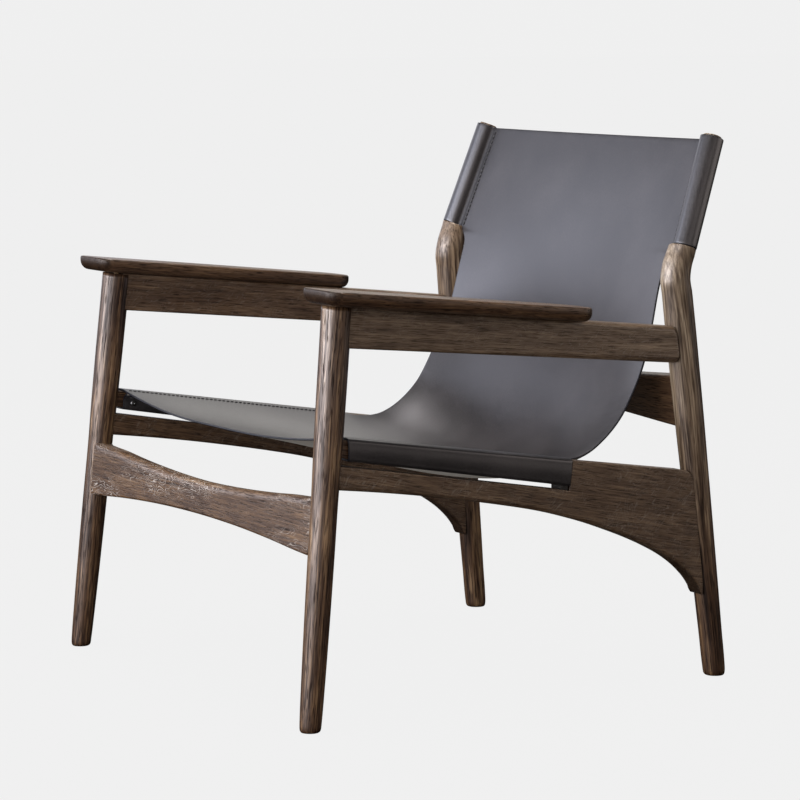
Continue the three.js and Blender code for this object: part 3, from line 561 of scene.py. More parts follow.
REAR_PROFILE = np.array([[0, 12.2], [0.5, 13.0], [1.2, 13.6], [2.2, 14.1], [3.5, 14.5], [7, 15.0], [14, 15.3], [60, 15.8], [102, 16.5], [180, 17.6],
                         [294, 19.0], [348, 19.7], [402, 20.1], [484, 20.5], [520, 20.3]])
t_rear = rear_axis(1) - rear_axis(0)
t_rear_n = t_rear / np.linalg.norm(t_rear)
zs = np.concatenate([[0, 0.5, 1.2, 2.2, 3.5, 5, 7, 9.5, 12], np.arange(18, 500, 6.0)])
rs = hermite(REAR_PROFILE[:, 0], REAR_PROFILE[:, 1], zs)
rings = [ring(rear_axis(z), t_rear, r, r, N_LEG) for z, r in zip(zs, rs)]
for i, z in enumerate(zs[:6]):
    tilt = rings[i][:, 2] - z
    rings[i][:, 2] = z + tilt * (z / 5.0 if z < 5 else 1.0)
KNEE = [[537, 586.6, -0.2, 20.2, 20.0, 0.12], [550, 588.2, -0.4, 20.3, 19.6, 0.35], [561, 591.0, -0.1, 20.4, 19.0, 0.62], [571, 594.6, 0.9, 20.4, 18.2, 0.86]]
keys = []
for z in (470, 484, 502, 520):
    c = rear_axis(z)
    r = float(hermite(REAR_PROFILE[:, 0], REAR_PROFILE[:, 1], z)[0])
    keys.append([*c, r, r, 0.0])
for z, y, dx, ra, rb, w in KNEE:
    keys.append([side_x(y, z) + dx, y, z, ra, rb, w])
LEDGE = -1.9
led = post_at(LEDGE) + np.array([-4.6, -0.2, 0])
keys.append([*led, 20.2, 17.4, 1.0])
keys = np.array(keys)
u = np.concatenate([[0], np.cumsum(np.linalg.norm(np.diff(keys[:, :3], axis=0), axis=1))])
start = float(np.interp(502, keys[:, 2], u))
edge_r = 0.9
q = np.arange(start, u[-1] - edge_r, 2.5)
body = hermite(u, keys, np.concatenate([q, [u[-1] - edge_r]]))
for k in body:
    d = t_rear_n * (1 - k[5]) + POST_DIR * k[5]
    rings.append(ring(k[:3], d, k[3], k[4], N_LEG))


def soft_side(a):
    """Rounding of the shoulder: wide inboard and in front, tight outboard where it is flush with the sleeve."""
    return 0.5 - 0.5 * math.cos(a)


for x in np.linspace(0, math.pi / 2, 8)[1:]:
    k = hermite(u, keys, u[-1] - edge_r * (1 - math.sin(x)))[0]
    d = t_rear_n * (1 - k[5]) + POST_DIR * k[5]
    rings.append(ring(k[:3], d, k[3], k[4], N_LEG, cut=lambda a: (1 - math.cos(x)) * (0.7 + (edge_r - 0.7) * soft_side(a))))
base = post_at(LEDGE)
for r in (POST_R + 1.2, POST_R):
    rings.append(ring(base, POST_DIR, r, r, N_LEG))
top = POST_LEN + POST_PROUD
for s, cut in ((4, 0), (top - 1.1, 0), (top - 0.7, 0.08), (top - 0.4, 0.25), (top - 0.15, 0.5), (top - 0.03, 0.85), (top, 1.3)):
    rings.append(ring(post_at(s), POST_DIR, POST_R - cut, POST_R - cut, N_LEG))
for r in (6.0, 0.4):
    rings.append(ring(post_at(top), POST_DIR, r, r, N_LEG))
v, f = loft(rings)
per = N_LEG
slots = np.zeros(len(f), int)
for i in range(len(rings) - 3, len(rings) - 1):
    slots[i * per:(i + 1) * per] = 1
slots[-1] = 1
# paler wood up the rear leg and on its front: partly sapwood on the knee and post, partly painted light, with the front
# side that faces the key lamps paler and the lower leg darker as painted shade
paler_up_and_front = np.interp(v[:, 2], [120, 220, 330, 470, 600, 640], [0.0, 0.35, 0.55, 0.8, 1.0, 0.6])
ahead = np.interp(v[:, 2], [0, 540, 571, 582, 740], [REAR_FOOT_Y, REAR_FOOT_Y + REAR_RAKE * 540, 594.6, 598, 652]) - v[:, 1]
paler_up_and_front *= np.clip(0.88 + 0.45 * ahead / 20.0, 0.1, 1.2)
wood("rear_leg", v, f, t_rear, (0.25, 1, 0), ["rear_leg_left", "rear_leg_right"], extra_slots=slots, sap_and_painted_light=np.clip(paler_up_and_front, 0, 1),
     quiet=np.interp(v[:, 2], [530, 562, 612, 640], [0.0, 0.8, 0.8, 0.3]))

# ------------------------------------------------------------------ side boards
side_place = lambda a, b, c: np.stack([side_x(a, b) + c, a, b], 1)
yF = lambda z: FRONT_RAKE * z
yR = lambda z: REAR_FOOT_Y + REAR_RAKE * z


def arm_under(y):
    return arm_top(y) - 18.6


END = 585.5
a_top, a_bot = (lambda y: arm_under(y) - 0.15), (lambda y: 482.2 - 0.0937 * y)
outline = np.concatenate([
    [[yF(478) + 2, a_bot(yF(478) + 2)]],
    fillet([300, a_bot(300)], [END + 0.5, a_bot(END)], [END - 1, 455], 11),
    fillet([END - 1, 455], [END - 3, a_top(END - 3)], [300, a_top(300)], 15),
    [[yF(528) + 2, a_top(yF(528) + 2)]],
])
rad = np.interp(outline[:, 0], [555, 578], [2.2, 9.0])
v, f, _ = board(outline, 15.5, side_place, rad)
wood("arm_rail", v, f, (side_x(1, 0) - side_x(0, 0), 1, -0.097), (0, 0.097, 1), ["arm_rail_left", "arm_rail_right"], fleck_angle=0.5, rays=0.22, sap_and_painted_light=0.44, quiet=1.0, fine=1.7)

STEP_TOP, STEP_FOOT = np.array([403.4, 310.9]), np.array([397.6, 271.8])
rail_top = lambda y: 330.6 - 0.168 * (y - 47.6)
rail_rear_top = lambda y: 310.9 - 0.1445 * (y - 403.4)
under = dense([[40, 300.8], [100, 293.2], [163, 284], [225, 273.6], [287, 262.2], [350, 248.8], [400, 235], [432, 225],
               [465, 213], [499, 199.6], [532, 184.5], [558, 170.5], [583, 152.6], [601, 134.5], [611.5, 119.5]], 6)
outline = np.concatenate([
    under,
    [[613.6, 115.9], [615.2, 114.2], [616.8, 114.0], [618.0, 115.6], [618.6, 119], [618.8, 125], [618.2, 140], [617.2, 150], [614, 180], [610.5, 210], [608, 238]],
    fillet([607.2, 245], [603.6, rail_rear_top(603.6)], [560, rail_rear_top(560)], 20, 12),
    [STEP_TOP + [1.6, -0.23], STEP_TOP + [0.5, -0.45], STEP_TOP + [-0.25, -1.7]],
    [STEP_FOOT + [0.2, 1.4], STEP_FOOT + [-0.35, 0.45], STEP_FOOT + [-1.5, 0.25]],
    [[40, rail_top(40)]],
])
rad = np.full(len(outline), 1.6)
rad[:len(under) - 1] = 5.0
v, f, _ = board(outline, 13.2, side_place, rad)
wood("side_rail", v, f, (side_x(1, 0) - side_x(0, 0), 1, -0.2), (0, 0.2, 1), ["side_rail_left", "side_rail_right"], fleck_angle=1.05, rays=0.3, sap_and_painted_light=0.24, quiet=1.0, fine=1.7)

# seat bars
by0, by1 = yF(350) + 2, 399.4
outline = np.array([[by0, bar_bot(by0)], [by1 - 3.6, bar_bot(by1 - 3.6)], [by1 + 1.0, bar_top(by1 + 1.0)], [by0, bar_top(by0)]])
v, f, _ = board(outline, 10.3, side_place, np.full(4, 2.0))
wood("seat_bar", v, f, (side_x(1, 0) - side_x(0, 0), 1, -0.16), (0, 0.16, 1), ["seat_bar_left", "seat_bar_right"], fleck_angle=0.8)

# ------------------------------------------------------------------ stretchers
rake = math.hypot(1, FRONT_RAKE)
front_place = lambda a, b, c: np.stack([a, FRONT_RAKE * b - c / rake, b + FRONT_RAKE * c / rake], 1)
ft = dense([[-300, 289.2], [-280, 288.2], [-240, 286], [-195, 282.2], [-134, 278.2], [-73.8, 275.4], [0, 273.8], [73.8, 275.4],
            [134, 278.2], [195, 282.2], [240, 286], [280, 288.2], [300, 289.2]], 8)
fb = dense([[300, 217.8], [270, 219.6], [214, 223.8], [160, 227], [106, 229.3], [50, 230.6], [0, 231], [-50, 230.6], [-106, 229.3],
            [-160, 227], [-214, 223.8], [-270, 219.6], [-300, 217.8]], 8)
outline = np.concatenate([
    ft,
    fillet([290, 288.8], [311.6, 289.6], [311.6, 255], 6, 4), fillet([311.6, 255], [311.6, 217.4], [290, 218.2], 5, 4),
    fb,
    fillet([-290, 218.2], [-311.6, 217.4], [-311.6, 255], 5, 4), fillet([-311.6, 255], [-311.6, 289.6], [-290, 288.8], 6, 4),
])
rad = np.concatenate([np.full(len(ft), 9.5), np.full(10, 3.0), np.full(len(fb), 3.2), np.full(10, 3.0)])
v, f, _ = board(outline, 13.7, front_place, rad, steps=8)
wood("front_stretcher", v, f, (1, 0, 0), (0, 0, 1), "front_stretcher", fleck_angle=0.08, rays=1.0, sap_and_painted_light=0.05, quiet=0.8, fine=1.6)

rr = math.hypot(1, REAR_RAKE)
rear_place = lambda a, b, c: np.stack([a, REAR_FOOT_Y + REAR_RAKE * b - c / rr, b + REAR_RAKE * c / rr], 1)
rt = dense([[-287, 410.0], [-255, 408], [-187, 403.7], [-120, 399.8], [-60, 397.2], [0, 396.2], [60, 397.2], [120, 399.8], [187, 403.7], [255, 408], [287, 410.0]], 8)
rb = dense([[287, 339.4], [256, 341], [200, 344.6], [138, 348.5], [70, 351.2], [0, 352.2], [-70, 351.2], [-138, 348.5], [-200, 344.6], [-256, 341], [-287, 339.4]], 8)
outline = np.concatenate([rt, rb])
rad = np.concatenate([np.full(len(rt), 5.0), np.full(len(rb), 2.5)])
v, f, _ = board(outline, 11, rear_place, rad)
wood("rear_stretcher", v, f, (1, 0, 0), (0, 0, 1), "rear_stretcher", fleck_angle=0.1, quiet=1.0, fine=1.6)


# ------------------------------------------------------------------ armrests
def arm_outline(inset, steps=14):
    r0, r1 = max(20 - inset, 4), max(28 - inset, 6)
    yf, yr = 14.6 + inset, 422.8 - inset
    inn = lambda y: 276.5 + 1.8 * (y - 14.6) / 408.2 + inset
    out = lambda y: 363.5 - 16.5 * (y - 14.6) / 408.2 - inset
    A, B, C, D = [inn(yf), yf], [out(yf), yf], [out(yr), yr], [inn(yr), yr]
    return np.concatenate([fillet(D, A, B, r0, steps), fillet(A, B, C, r0, steps), fillet(B, C, D, r1, steps), fillet(C, D, A, r1, steps)])


T = 18.6
LAYERS = [[T, 12.0], [T, 11.4], [T - 0.12, 10.0], [T - 0.5, 8.2], [T - 1.2, 6.4], [T - 2.2, 4.8], [T - 3.5, 3.4], [T - 5.0, 2.2], [T - 7.0, 1.15], [T - 9.2, 0.42],
          [T - 11.5, 0.05], [T - 12.6, 0.0], [3.2, 0.0], [2.1, 0.18], [1.2, 0.62], [0.55, 1.25], [0.15, 2.05], [0.0, 2.9], [0.0, 3.6]]
rings = []
for d, inset in LAYERS:
    xy = arm_outline(inset)
    rings.append(np.stack([xy[:, 0], xy[:, 1], arm_top(xy[:, 1]) - d], 1))
v, f = loft(rings)
wood("armrest", v, f, (0, 1, -0.1005), (1, 0, 0), ["armrest_left", "armrest_right"], fleck_angle=0.05, quiet=1.0, fine=1.5)

# ------------------------------------------------------------------ the sling
GROOVE = 0.05                    # how deep the stitched line is drawn in
SKIRT = 5.0                      # the seam runs this far below the sleeve


def crease(s):
    """Bottom of the stitched line beside the post, in (outboard, rearward) coordinates about the post."""
    t = s / 151.0
    return -27.3 + 2.0 * t, 0.8 - 0.3 * t


def post_edge(s):
    a, b = crease(s)
    return list(post_at(s) + POST_SIDE * a + POST_BACK * (b - GROOVE))


# edge x, y, z, middle y, z, p ; the edge's range: A back sleeves, B free, C seat sleeves
ROWS_A = [[151, 650.4, 721.0], [120, 640.4, 691.8], [80, 628.3, 653.6], [40, 616.7, 615.2], [-SKIRT, 605.3, 571.8]]
ROWS_B = [
    [257.4, 594.5, 570.6, 604.0, 565.6], [251.6, 592.9, 563.8, 602.1, 557.4], [249.0, 590.5, 553.5, 600.1, 546.6], [249.2, 587.5, 540.0, 597.9, 532.5], [249.5, 581.4, 519.0, 594.6, 510.0],
    [251.2, 573.0, 482.0, 589.8, 470.5], [254.0, 563.4, 449.0, 585.0, 434.0], [257.0, 554.5, 427.0, 580.4, 407.5],
    [258.4, 543.7, 403.0, 573.9, 378.0], [258.6, 530.6, 378.5, 564.0, 347.5], [258.8, 517.4, 357.2, 551.4, 321.0],
    [259.4, 500.8, 339.2, 534.0, 297.0], [260.4, 483.4, 325.2, 513.0, 277.8], [262.2, 466.4, 315.0, 489.6, 264.6],
    [265.0, 449.8, 309.0, 465.0, 257.6], [272.0, 430.0, 307.4, 440.0, 255.8], [284.2, 412.4, 309.4, 418.0, 256.6],
]


def seat_edge(y):
    return [side_x(y, bar_top(y)) - 9.8, y, bar_top(y) + 3.0]


ROWS_C = [[401.6, 401, 258.4, 2.05], [370, 370, 263.6, 2.08], [330, 330, 272.8, 2.1], [285, 285, 285.0, 2.14], [240, 240, 297.6, 2.2],
          [195, 195, 309.6, 2.26], [150, 150, 321.0, 2.32], [105, 104, 332.4, 2.4], [80, 77, 338.6, 2.45], [58.5, 54.7, 343.8, 2.5]]
mid = [[r[1], r[2]] for r in ROWS_A] + [[r[3], r[4]] for r in ROWS_B] + [[r[1], r[2]] for r in ROWS_C]
pw = [2.0] * (len(ROWS_A) + len(ROWS_B)) + [r[3] for r in ROWS_C]
mid, pw = np.array(mid, float), np.array(pw, float)
um = np.concatenate([[0], np.cumsum(np.linalg.norm(np.diff(mid, axis=0), axis=1))])
iA, iC = len(ROWS_A) - 1, len(ROWS_A) + len(ROWS_B)
edge_A = np.array([post_edge(r[0]) for r in ROWS_A])
edge_B = np.array([post_edge(-SKIRT)] + [r[:3] for r in ROWS_B] + [seat_edge(401.6)])
edge_C = np.array([seat_edge(r[0]) for r in ROWS_C])
uA, uB, uC = um[:iA + 1], um[iA:iC + 1], um[iC:]


def spread(u, step):
    return np.linspace(u[0], u[-1], int(round((u[-1] - u[0]) / step)) + 1)


qA, qB, qC = spread(uA, 4.0), spread(uB, 3.0), spread(uC, 4.0)
eA, eB, eC = hermite(uA, edge_A, qA), hermite(uB, edge_B, qB), hermite(uC, edge_C, qC)
sA = np.interp(qA, uA, [r[0] for r in ROWS_A])
yC = np.interp(qC, uC, [r[0] for r in ROWS_C])
q_all = np.concatenate([qA, qB[1:], qC[1:]])
edge = np.concatenate([eA, eB[1:], eC[1:]])
midline = hermite(um, mid, q_all)
power = hermite(um, pw, q_all)
nA, nB, nC = len(qA), len(qB) - 1, len(qC) - 1
R = len(q_all)

# columns of the panel, closer together near the edges
tt = np.linspace(-1, 1, 97)
tt = np.sign(tt) * (1 - (1 - np.abs(tt)) ** 1.25)


def smoothed(f, sigma):
    """f along the rows, smoothed by sigma (a number, or one for each row); the ends stay put."""
    f = np.asarray(f, float)
    g = f[:, None] if f.ndim == 1 else f
    a, b = q_all[0], q_all[-1]
    u3 = np.concatenate([2 * a - q_all[:0:-1], q_all, 2 * b - q_all[-2::-1]])
    g3 = np.concatenate([2 * g[0] - g[:0:-1], g, 2 * g[-1] - g[-2::-1]])
    width = np.gradient(u3)
    sig = np.broadcast_to(np.asarray(sigma, float), q_all.shape)
    k = np.exp(-0.5 * ((u3[None, :] - q_all[:, None]) / sig[:, None]) ** 2) * width[None, :]
    k /= k.sum(1)[:, None]
    out = k @ g3
    return out[:, 0] if f.ndim == 1 else out


back_part = np.interp(q_all, [0, um[iA + 4], um[iA + 8], um[iA + 11], um[iC], um[-1]], [26, 24, 16, 11, 11, 12])
midline = smoothed(midline, back_part)
reach = smoothed(edge[:, 0], 26.0)                       # half width to which the hollow is measured
hollow = smoothed((edge[:, 1:] - midline) * ((reach / edge[:, 0]) ** power)[:, None], back_part)
cut = midline + hollow * ((edge[:, 0] / reach) ** power)[:, None]      # where the smooth surface is cut off
rest = edge[:, 1:] - cut
held_at = np.ones(R)
for i in range(nA, nA + nB - 1):
    a_, b_ = q_all[i] - q_all[nA - 1], q_all[nA + nB - 1] - q_all[i]
    held_at[i] = max(0.25, 1 - a_ / 30.0, 1 - b_ / 30.0)
panel = np.zeros((R, len(tt), 3))
for i in range(R):
    panel[i, :, 0] = tt * edge[i, 0]
    w = (np.abs(panel[i, :, 0]) / reach[i]) ** power[i]
    panel[i, :, 1:] = midline[i] + hollow[i] * w[:, None] + rest[i] * held_at[i] * (np.abs(tt) ** 7)[:, None]
edge = panel[:, -1].copy()
print("hide edge moved by at most %.2f mm" % np.abs(rest).max(), "held part %.2f" % np.abs(rest[:nA]).max())


def tangent_angle(p, r, sign):
    d = math.hypot(*p)
    return math.atan2(p[1], p[0]) + sign * math.acos(r / d)


def post_section(s):
    """Grain side of the sleeve in (outboard, rearward) coordinates about the post, from the stitched line to the end of the
    flap. Each point has a weight: 1 where it belongs to the panel, 0 where it belongs to the tube."""
    cu, cw = crease(s)
    front = cw - GROOVE
    lean = math.radians(-97.0)
    d1, n1 = np.array([-math.sin(lean), math.cos(lean)]), np.array([math.cos(lean), math.sin(lean)])
    k0 = np.array([cu + 1.7, front])
    r = 6.0
    lo_, hi_ = 0.0, 40.0
    for _ in range(50):
        t = 0.5 * (lo_ + hi_)
        if np.linalg.norm(k0 + d1 * t + n1 * r) > SLEEVE_R + r:
            lo_ = t
        else:
            hi_ = t
    c = k0 + d1 * t + n1 * r
    leave = math.atan2(-c[1], -c[0])
    out = [(k0 * 0.5 + np.array([cu, cw]) * 0.5 + [0.0, 0.0], 1.0), (k0, 1.0)]
    for x in np.linspace(0, 1, 6)[1:]:
        out.append((k0 + d1 * t * x, 1.0 - 0.4 * x))
    a0, a1 = math.atan2(-n1[1], -n1[0]), leave
    while a1 - a0 > math.pi:
        a1 -= 2 * math.pi
    while a1 - a0 < -math.pi:
        a1 += 2 * math.pi
    for x in np.linspace(0, 1, 8)[1:]:
        a_ = a0 + (a1 - a0) * x
        out.append((c + r * np.array([math.cos(a_), math.sin(a_)]), 0.6 - 0.25 * x))
    k2 = np.array([cu + 2.6, cw + 4.9])
    b0 = math.atan2(c[1], c[0])
    b1 = tangent_angle(k2, SLEEVE_R, -1)
    while b1 < b0:
        b1 += 2 * math.pi
    for a_ in np.linspace(b0, b1, 44)[1:]:
        out.append((SLEEVE_R * np.array([math.cos(a_), math.sin(a_)]), 0.35 * max(0.0, 1 - (a_ - b0) / 0.9)))
    p2 = SLEEVE_R * np.array([math.cos(b1), math.sin(b1)])
    d2 = (k2 - p2) / np.linalg.norm(k2 - p2)
    e0 = k2 - d2 * 2.2
    for x in np.linspace(0, 1, 6)[1:-1]:
        out.append((p2 + (e0 - p2) * x, 0.0))
    e1 = k2 + np.array([-2.2, 0])
    for x in np.linspace(0, 1, 5):
        out.append(((1 - x) ** 2 * e0 + 2 * x * (1 - x) * k2 + x * x * e1, 0.0))
    out.append((np.array([cu - 2.4, cw + 4.9]), 0.0))
    out.append((np.array([cu - 4.8, cw + 4.9]), 0.0))
    return out


def arc(c, r, a0, a1, n):
    w = np.radians(np.linspace(a0, a1, n))
    return [np.array([c[0] + r * math.cos(x), c[1] + r * math.sin(x)]) for x in w]


def seat_section(top, bot):
    """Grain side of the seat sleeve in (outboard, up) coordinates, from the crest to the end of the flap."""
    o, rt_, rb_ = 13.6, 5.5, 4.0
    out = [np.array([-6.5, top + 0.15]), np.array([-2.0, top + 0.2]), np.array([3.0, top + 0.12])]
    out += arc((o - rt_, top - rt_), rt_, 88, 4, 9)
    n = 10
    a, b = top - rt_ - 1.5, bot + rb_ + 1.0
    for t in np.linspace(0, 1, n):
        out.append(np.array([o + 0.55 * math.sin(math.pi * t), a + (b - a) * t]))
    out += arc((o - rb_, bot + rb_), rb_, -4, -88, 7)
    out += [np.array([4.0, bot - 0.05]), np.array([-4.0, bot - 0.05])]
    out += arc((-o + rb_, bot + rb_), rb_, -92, -176, 7)
    out += [np.array([-o, bot + 9.0]), np.array([-o - 0.1, bot + 12.5])]
    k = np.array([-13.9, bot + 15.8])
    e = np.array([-21.2, top - 7.8])
    d = (e - k) / np.linalg.norm(e - k)
    s0 = np.array([-13.7, bot + 13.5])
    m = k + d * 2.4
    for t in np.linspace(0, 1, 5)[1:]:
        out.append((1 - t) ** 2 * s0 + 2 * t * (1 - t) * k + t * t * m)
    for t in (0.35, 0.7, 1.0):
        out.append(m + (e - m) * t)
    out.append(e + np.array([-1.2, -1.4]))
    return np.array(out)


nW = len(post_section(0.0))
wing = np.repeat(edge[:, None, :], nW, axis=1)
# the section weights are also kept for each point as the painted seam shade that the leather's shader reads
painted_seam_shade_weights = np.zeros(nW)
for i in range(nA):
    high = sA[i] if sA[i] > 14 else 14.0 * (sA[i] + SKIRT) / (14.0 + SKIRT)      # the tube ends at the shoulder
    for j, ((a, b), own) in enumerate(post_section(sA[i])):
        painted_seam_shade_weights[j] = own
        wing[i, j] = post_at(high + (sA[i] - high) * own) + POST_SIDE * a + POST_BACK * b
    panel[i, [0, -1], 1:] += POST_BACK[1:] * GROOVE
n_seat = len(seat_section(100.0, 70.0))
seat_wing = np.repeat(edge[:, None, :], n_seat, axis=1)
riser = lambda z: STEP_FOOT[0] + (STEP_TOP[0] - STEP_FOOT[0]) * (z - STEP_FOOT[1]) / (STEP_TOP[1] - STEP_FOOT[1])
rows_c = [nA + nB - 1 + k for k in range(nC + 1)]
for k, i in enumerate(rows_c):
    y = yC[k]
    near = max(0.0, 1 - k / 6.0)
    for j, (c, z) in enumerate(seat_section(bar_top(y) + 3.0, bar_bot(y) - 3.1)):
        ye = y + (riser(z) - 0.9 - 401.6) * near if near > 0 else y
        seat_wing[i, j] = [side_x(ye, z) + c, ye, z]

# one grid: [right wing reversed | panel | left wing]; the two kinds of wing share columns
W = max(nW, n_seat)
cols = 2 * W + len(tt)
grid = np.zeros((R, cols, 3))
grid[:, W:W + len(tt)] = panel
grid[:, W + len(tt):] = edge[:, None, :]
grid[:nA, W + len(tt):W + len(tt) + nW] = wing[:nA]
grid[rows_c[0]:, W + len(tt):W + len(tt) + n_seat] = seat_wing[rows_c[0]:]
left = grid[:, W + len(tt):].copy()
left[..., 0] *= -1
grid[:, :W] = left[:, ::-1]
valid = np.zeros((R - 1, cols - 1), bool)
valid[:, W:W + len(tt) - 1] = True
for i in range(R - 1):
    if i < nA - 1:
        valid[i, W + len(tt) - 1:W + len(tt) - 1 + nW] = True
        valid[i, W - nW:W] = True
    if i >= rows_c[0]:
        valid[i, W + len(tt) - 1:W + len(tt) - 1 + n_seat] = True
        valid[i, W - n_seat:W] = True

# a hide is never dead flat: slow, shallow waves in the free part, none at the seams
free = np.clip((1 - np.abs(tt)) / 0.35, 0, 1)
for i in range(R):
    x, s = panel[i, :, 0], q_all[i]
    wave = 0.45 * np.sin(x / 61.0 + s / 140.0) + 0.35 * np.sin(x / 37.0 - s / 83.0 + 1.3) + 0.25 * np.sin(x / 90.0 + s / 47.0 + 2.1)
    turn = min(max((i - (nA + nB // 2)) / 40.0 + 0.5, 0.0), 1.0)
    turn = turn * turn * (3 - 2 * turn)
    grid[i, W:W + len(tt), 1] += 0.8 * wave * free * (1 - turn)
    grid[i, W:W + len(tt), 2] += 0.8 * wave * free * turn


def thick_sheet(grid, valid, t):
    """Closed solid from a grid of grain-side points: faces, their slots (0 grain, 1 cut edge, 2 flesh), vertices and the grain area."""
    R_, C_ = grid.shape[:2]
    a, b, c, d = grid[:-1, :-1], grid[1:, :-1], grid[1:, 1:], grid[:-1, 1:]
    cell = np.cross(c - a, d - b)
    area = 0.5 * np.linalg.norm(cell, axis=2)[valid].sum()
    cell[~valid] = 0
    nrm = np.zeros_like(grid)
    for di, dj in ((0, 0), (1, 0), (1, 1), (0, 1)):
        nrm[di:R_ - 1 + di, dj:C_ - 1 + dj] += cell
    ln = np.linalg.norm(nrm, axis=2)
    used = ln > 0
    nrm[used] /= ln[used][:, None]
    index = -np.ones((R_, C_), int)
    index[used] = np.arange(used.sum())
    P, Nn = grid[used], nrm[used]
    n = len(P)
    faces, slots = [], []
    ii, jj = np.nonzero(valid)
    half = {}
    for i, j in zip(ii, jj):
        q = (index[i, j], index[i + 1, j], index[i + 1, j + 1], index[i, j + 1])
        faces.append(q)
        slots.append(0)
        faces.append(tuple(k + n for k in q[::-1]))
        slots.append(2)
        for k in range(4):
            half[(q[k], q[(k + 1) % 4])] = True
    rim = [(a_, b_) for (a_, b_) in half if (b_, a_) not in half]
    out = np.zeros((n, 3))
    for a_, b_ in rim:
        e = P[b_] - P[a_]
        o_ = np.cross(e, Nn[a_] + Nn[b_])
        o_ /= max(np.linalg.norm(o_), 1e-9)
        out[a_] += o_
        out[b_] += o_
    verts = [P, P - Nn * t]
    on_rim = sorted({k for e in rim for k in e})
    pos = {k: i for i, k in enumerate(on_rim)}
    o_ = out[on_rim]
    o_ /= np.maximum(np.linalg.norm(o_, axis=1), 1e-9)[:, None]
    prof = [(0.06, 0.40), (0.28, 0.85), (0.70, 1.05), (t - 0.70, 1.05), (t - 0.28, 0.85), (t - 0.06, 0.40)]
    start_ = 2 * n
    for depth, reach in prof:
        verts.append(P[on_rim] - Nn[on_rim] * depth + o_ * reach)
    m_ = len(on_rim)
    for a_, b_ in rim:
        chain_a = [a_] + [start_ + k * m_ + pos[a_] for k in range(len(prof))] + [a_ + n]
        chain_b = [b_] + [start_ + k * m_ + pos[b_] for k in range(len(prof))] + [b_ + n]
        for k in range(len(chain_a) - 1):
            faces.append((chain_b[k], chain_a[k], chain_a[k + 1], chain_b[k + 1]))
            slots.append(1)
    return np.concatenate(verts), faces, slots, area, used


v, f, slots, area, used = thick_sheet(grid, valid, HIDE_T)
# painted seam shade on the sleeves, read by the leather's shader to turn its reflection down and up
painted_seam_shade = np.zeros(grid.shape[:2])
painted_seam_shade[:nA, W + len(tt):W + len(tt) + nW] = painted_seam_shade_weights ** 0.5
painted_seam_shade[:nA, W - nW:W] = painted_seam_shade_weights[::-1] ** 0.5
painted_seam_shade = np.concatenate([painted_seam_shade[used], np.zeros(len(v) - int(used.sum()))])
sling = mesh_object("saddle_leather_sling", v, f, [HIDE, EDGE, FLESH], slots,
                    {"painted_seam_shade": np.stack([painted_seam_shade, painted_seam_shade, painted_seam_shade], 1)})
rides(sling, "leather", "leather_sling")

# ------------------------------------------------------------------ stitches
def stitch(p0, p1, up, r=0.8, sink=0.9, rise=0.32):
    """One stitch from p0 to p1: both ends dive into the leather."""
    p0, p1, up = (np.asarray(x, float) for x in (p0, p1, up))
    d = p1 - p0
    ln = np.linalg.norm(d)
    d = d / ln
    path = [(0.0, -sink), (0.03, -0.25), (0.12, 0.15), (0.3, rise), (0.5, rise + 0.05), (0.7, rise), (0.88, 0.15), (0.97, -0.25), (1.0, -sink)]
    pts = [p0 + d * ln * a + up * h for a, h in path]
    side = np.cross(d, up)
    side /= np.linalg.norm(side)
    rings_ = []
    for k, p in enumerate(pts):
        t_ = pts[min(k + 1, len(pts) - 1)] - pts[max(k - 1, 0)]
        t_ /= np.linalg.norm(t_)
        u_ = np.cross(side, t_)
        a = 2 * math.pi * np.arange(8) / 8
        rings_.append(p + np.outer(r * np.cos(a), side) + np.outer(r * np.sin(a), u_))
    return loft(rings_)


def seam(name, rows, target, slot_name="thread", thick=0.7):
    """rows: list of (p0, p1, up). One object, mirrored for the second target."""
    vs, fs, gs = [], [], []
    base_ = 0
    for p0, p1, up in rows:
        v_, f_ = stitch(p0, p1, up, thick)
        f_ = turned_out(v_ - v_.mean(0), f_)
        vs.append(v_)
        fs += [tuple(i + base_ for i in x) for x in f_]
        k = np.repeat(np.arange(9), 8)
        gs.append(np.stack([k * np.linalg.norm(np.asarray(p1) - np.asarray(p0)) / 8000.0, np.tile(np.arange(8) / 8.0, 9), np.zeros(72)], 1))
        base_ += len(v_)
    vs, gs = np.concatenate(vs), np.concatenate(gs)
    for k, t_ in enumerate(target):
        v_, f_ = (vs, fs) if k == 0 else mirrored(vs, fs)
        o = mesh_object("stitches_" + t_, v_, f_, [THREAD], None, {"grain": gs})
        rides(o, slot_name, t_)


PITCH, LONG = 6.65, 3.9
rows = []
for s in np.arange(1.5, 146.5, PITCH):
    for dw, up in ((-0.20, -1.0), (4.9 + 0.35, 1.0)):
        ends = []
        for q_ in (s, s + LONG):
            a, b = crease(q_)
            ends.append(post_at(q_) + POST_SIDE * (a + 0.35) + POST_BACK * (b + dw))
        upv = POST_BACK * up + POST_SIDE * (-0.15 if up < 0 else -0.25)
        upv /= np.linalg.norm(upv)
        rows.append((ends[0], ends[1], upv))
seam("back", rows, ["back_seam_thread_left", "back_seam_thread_right"], thick=1.3)


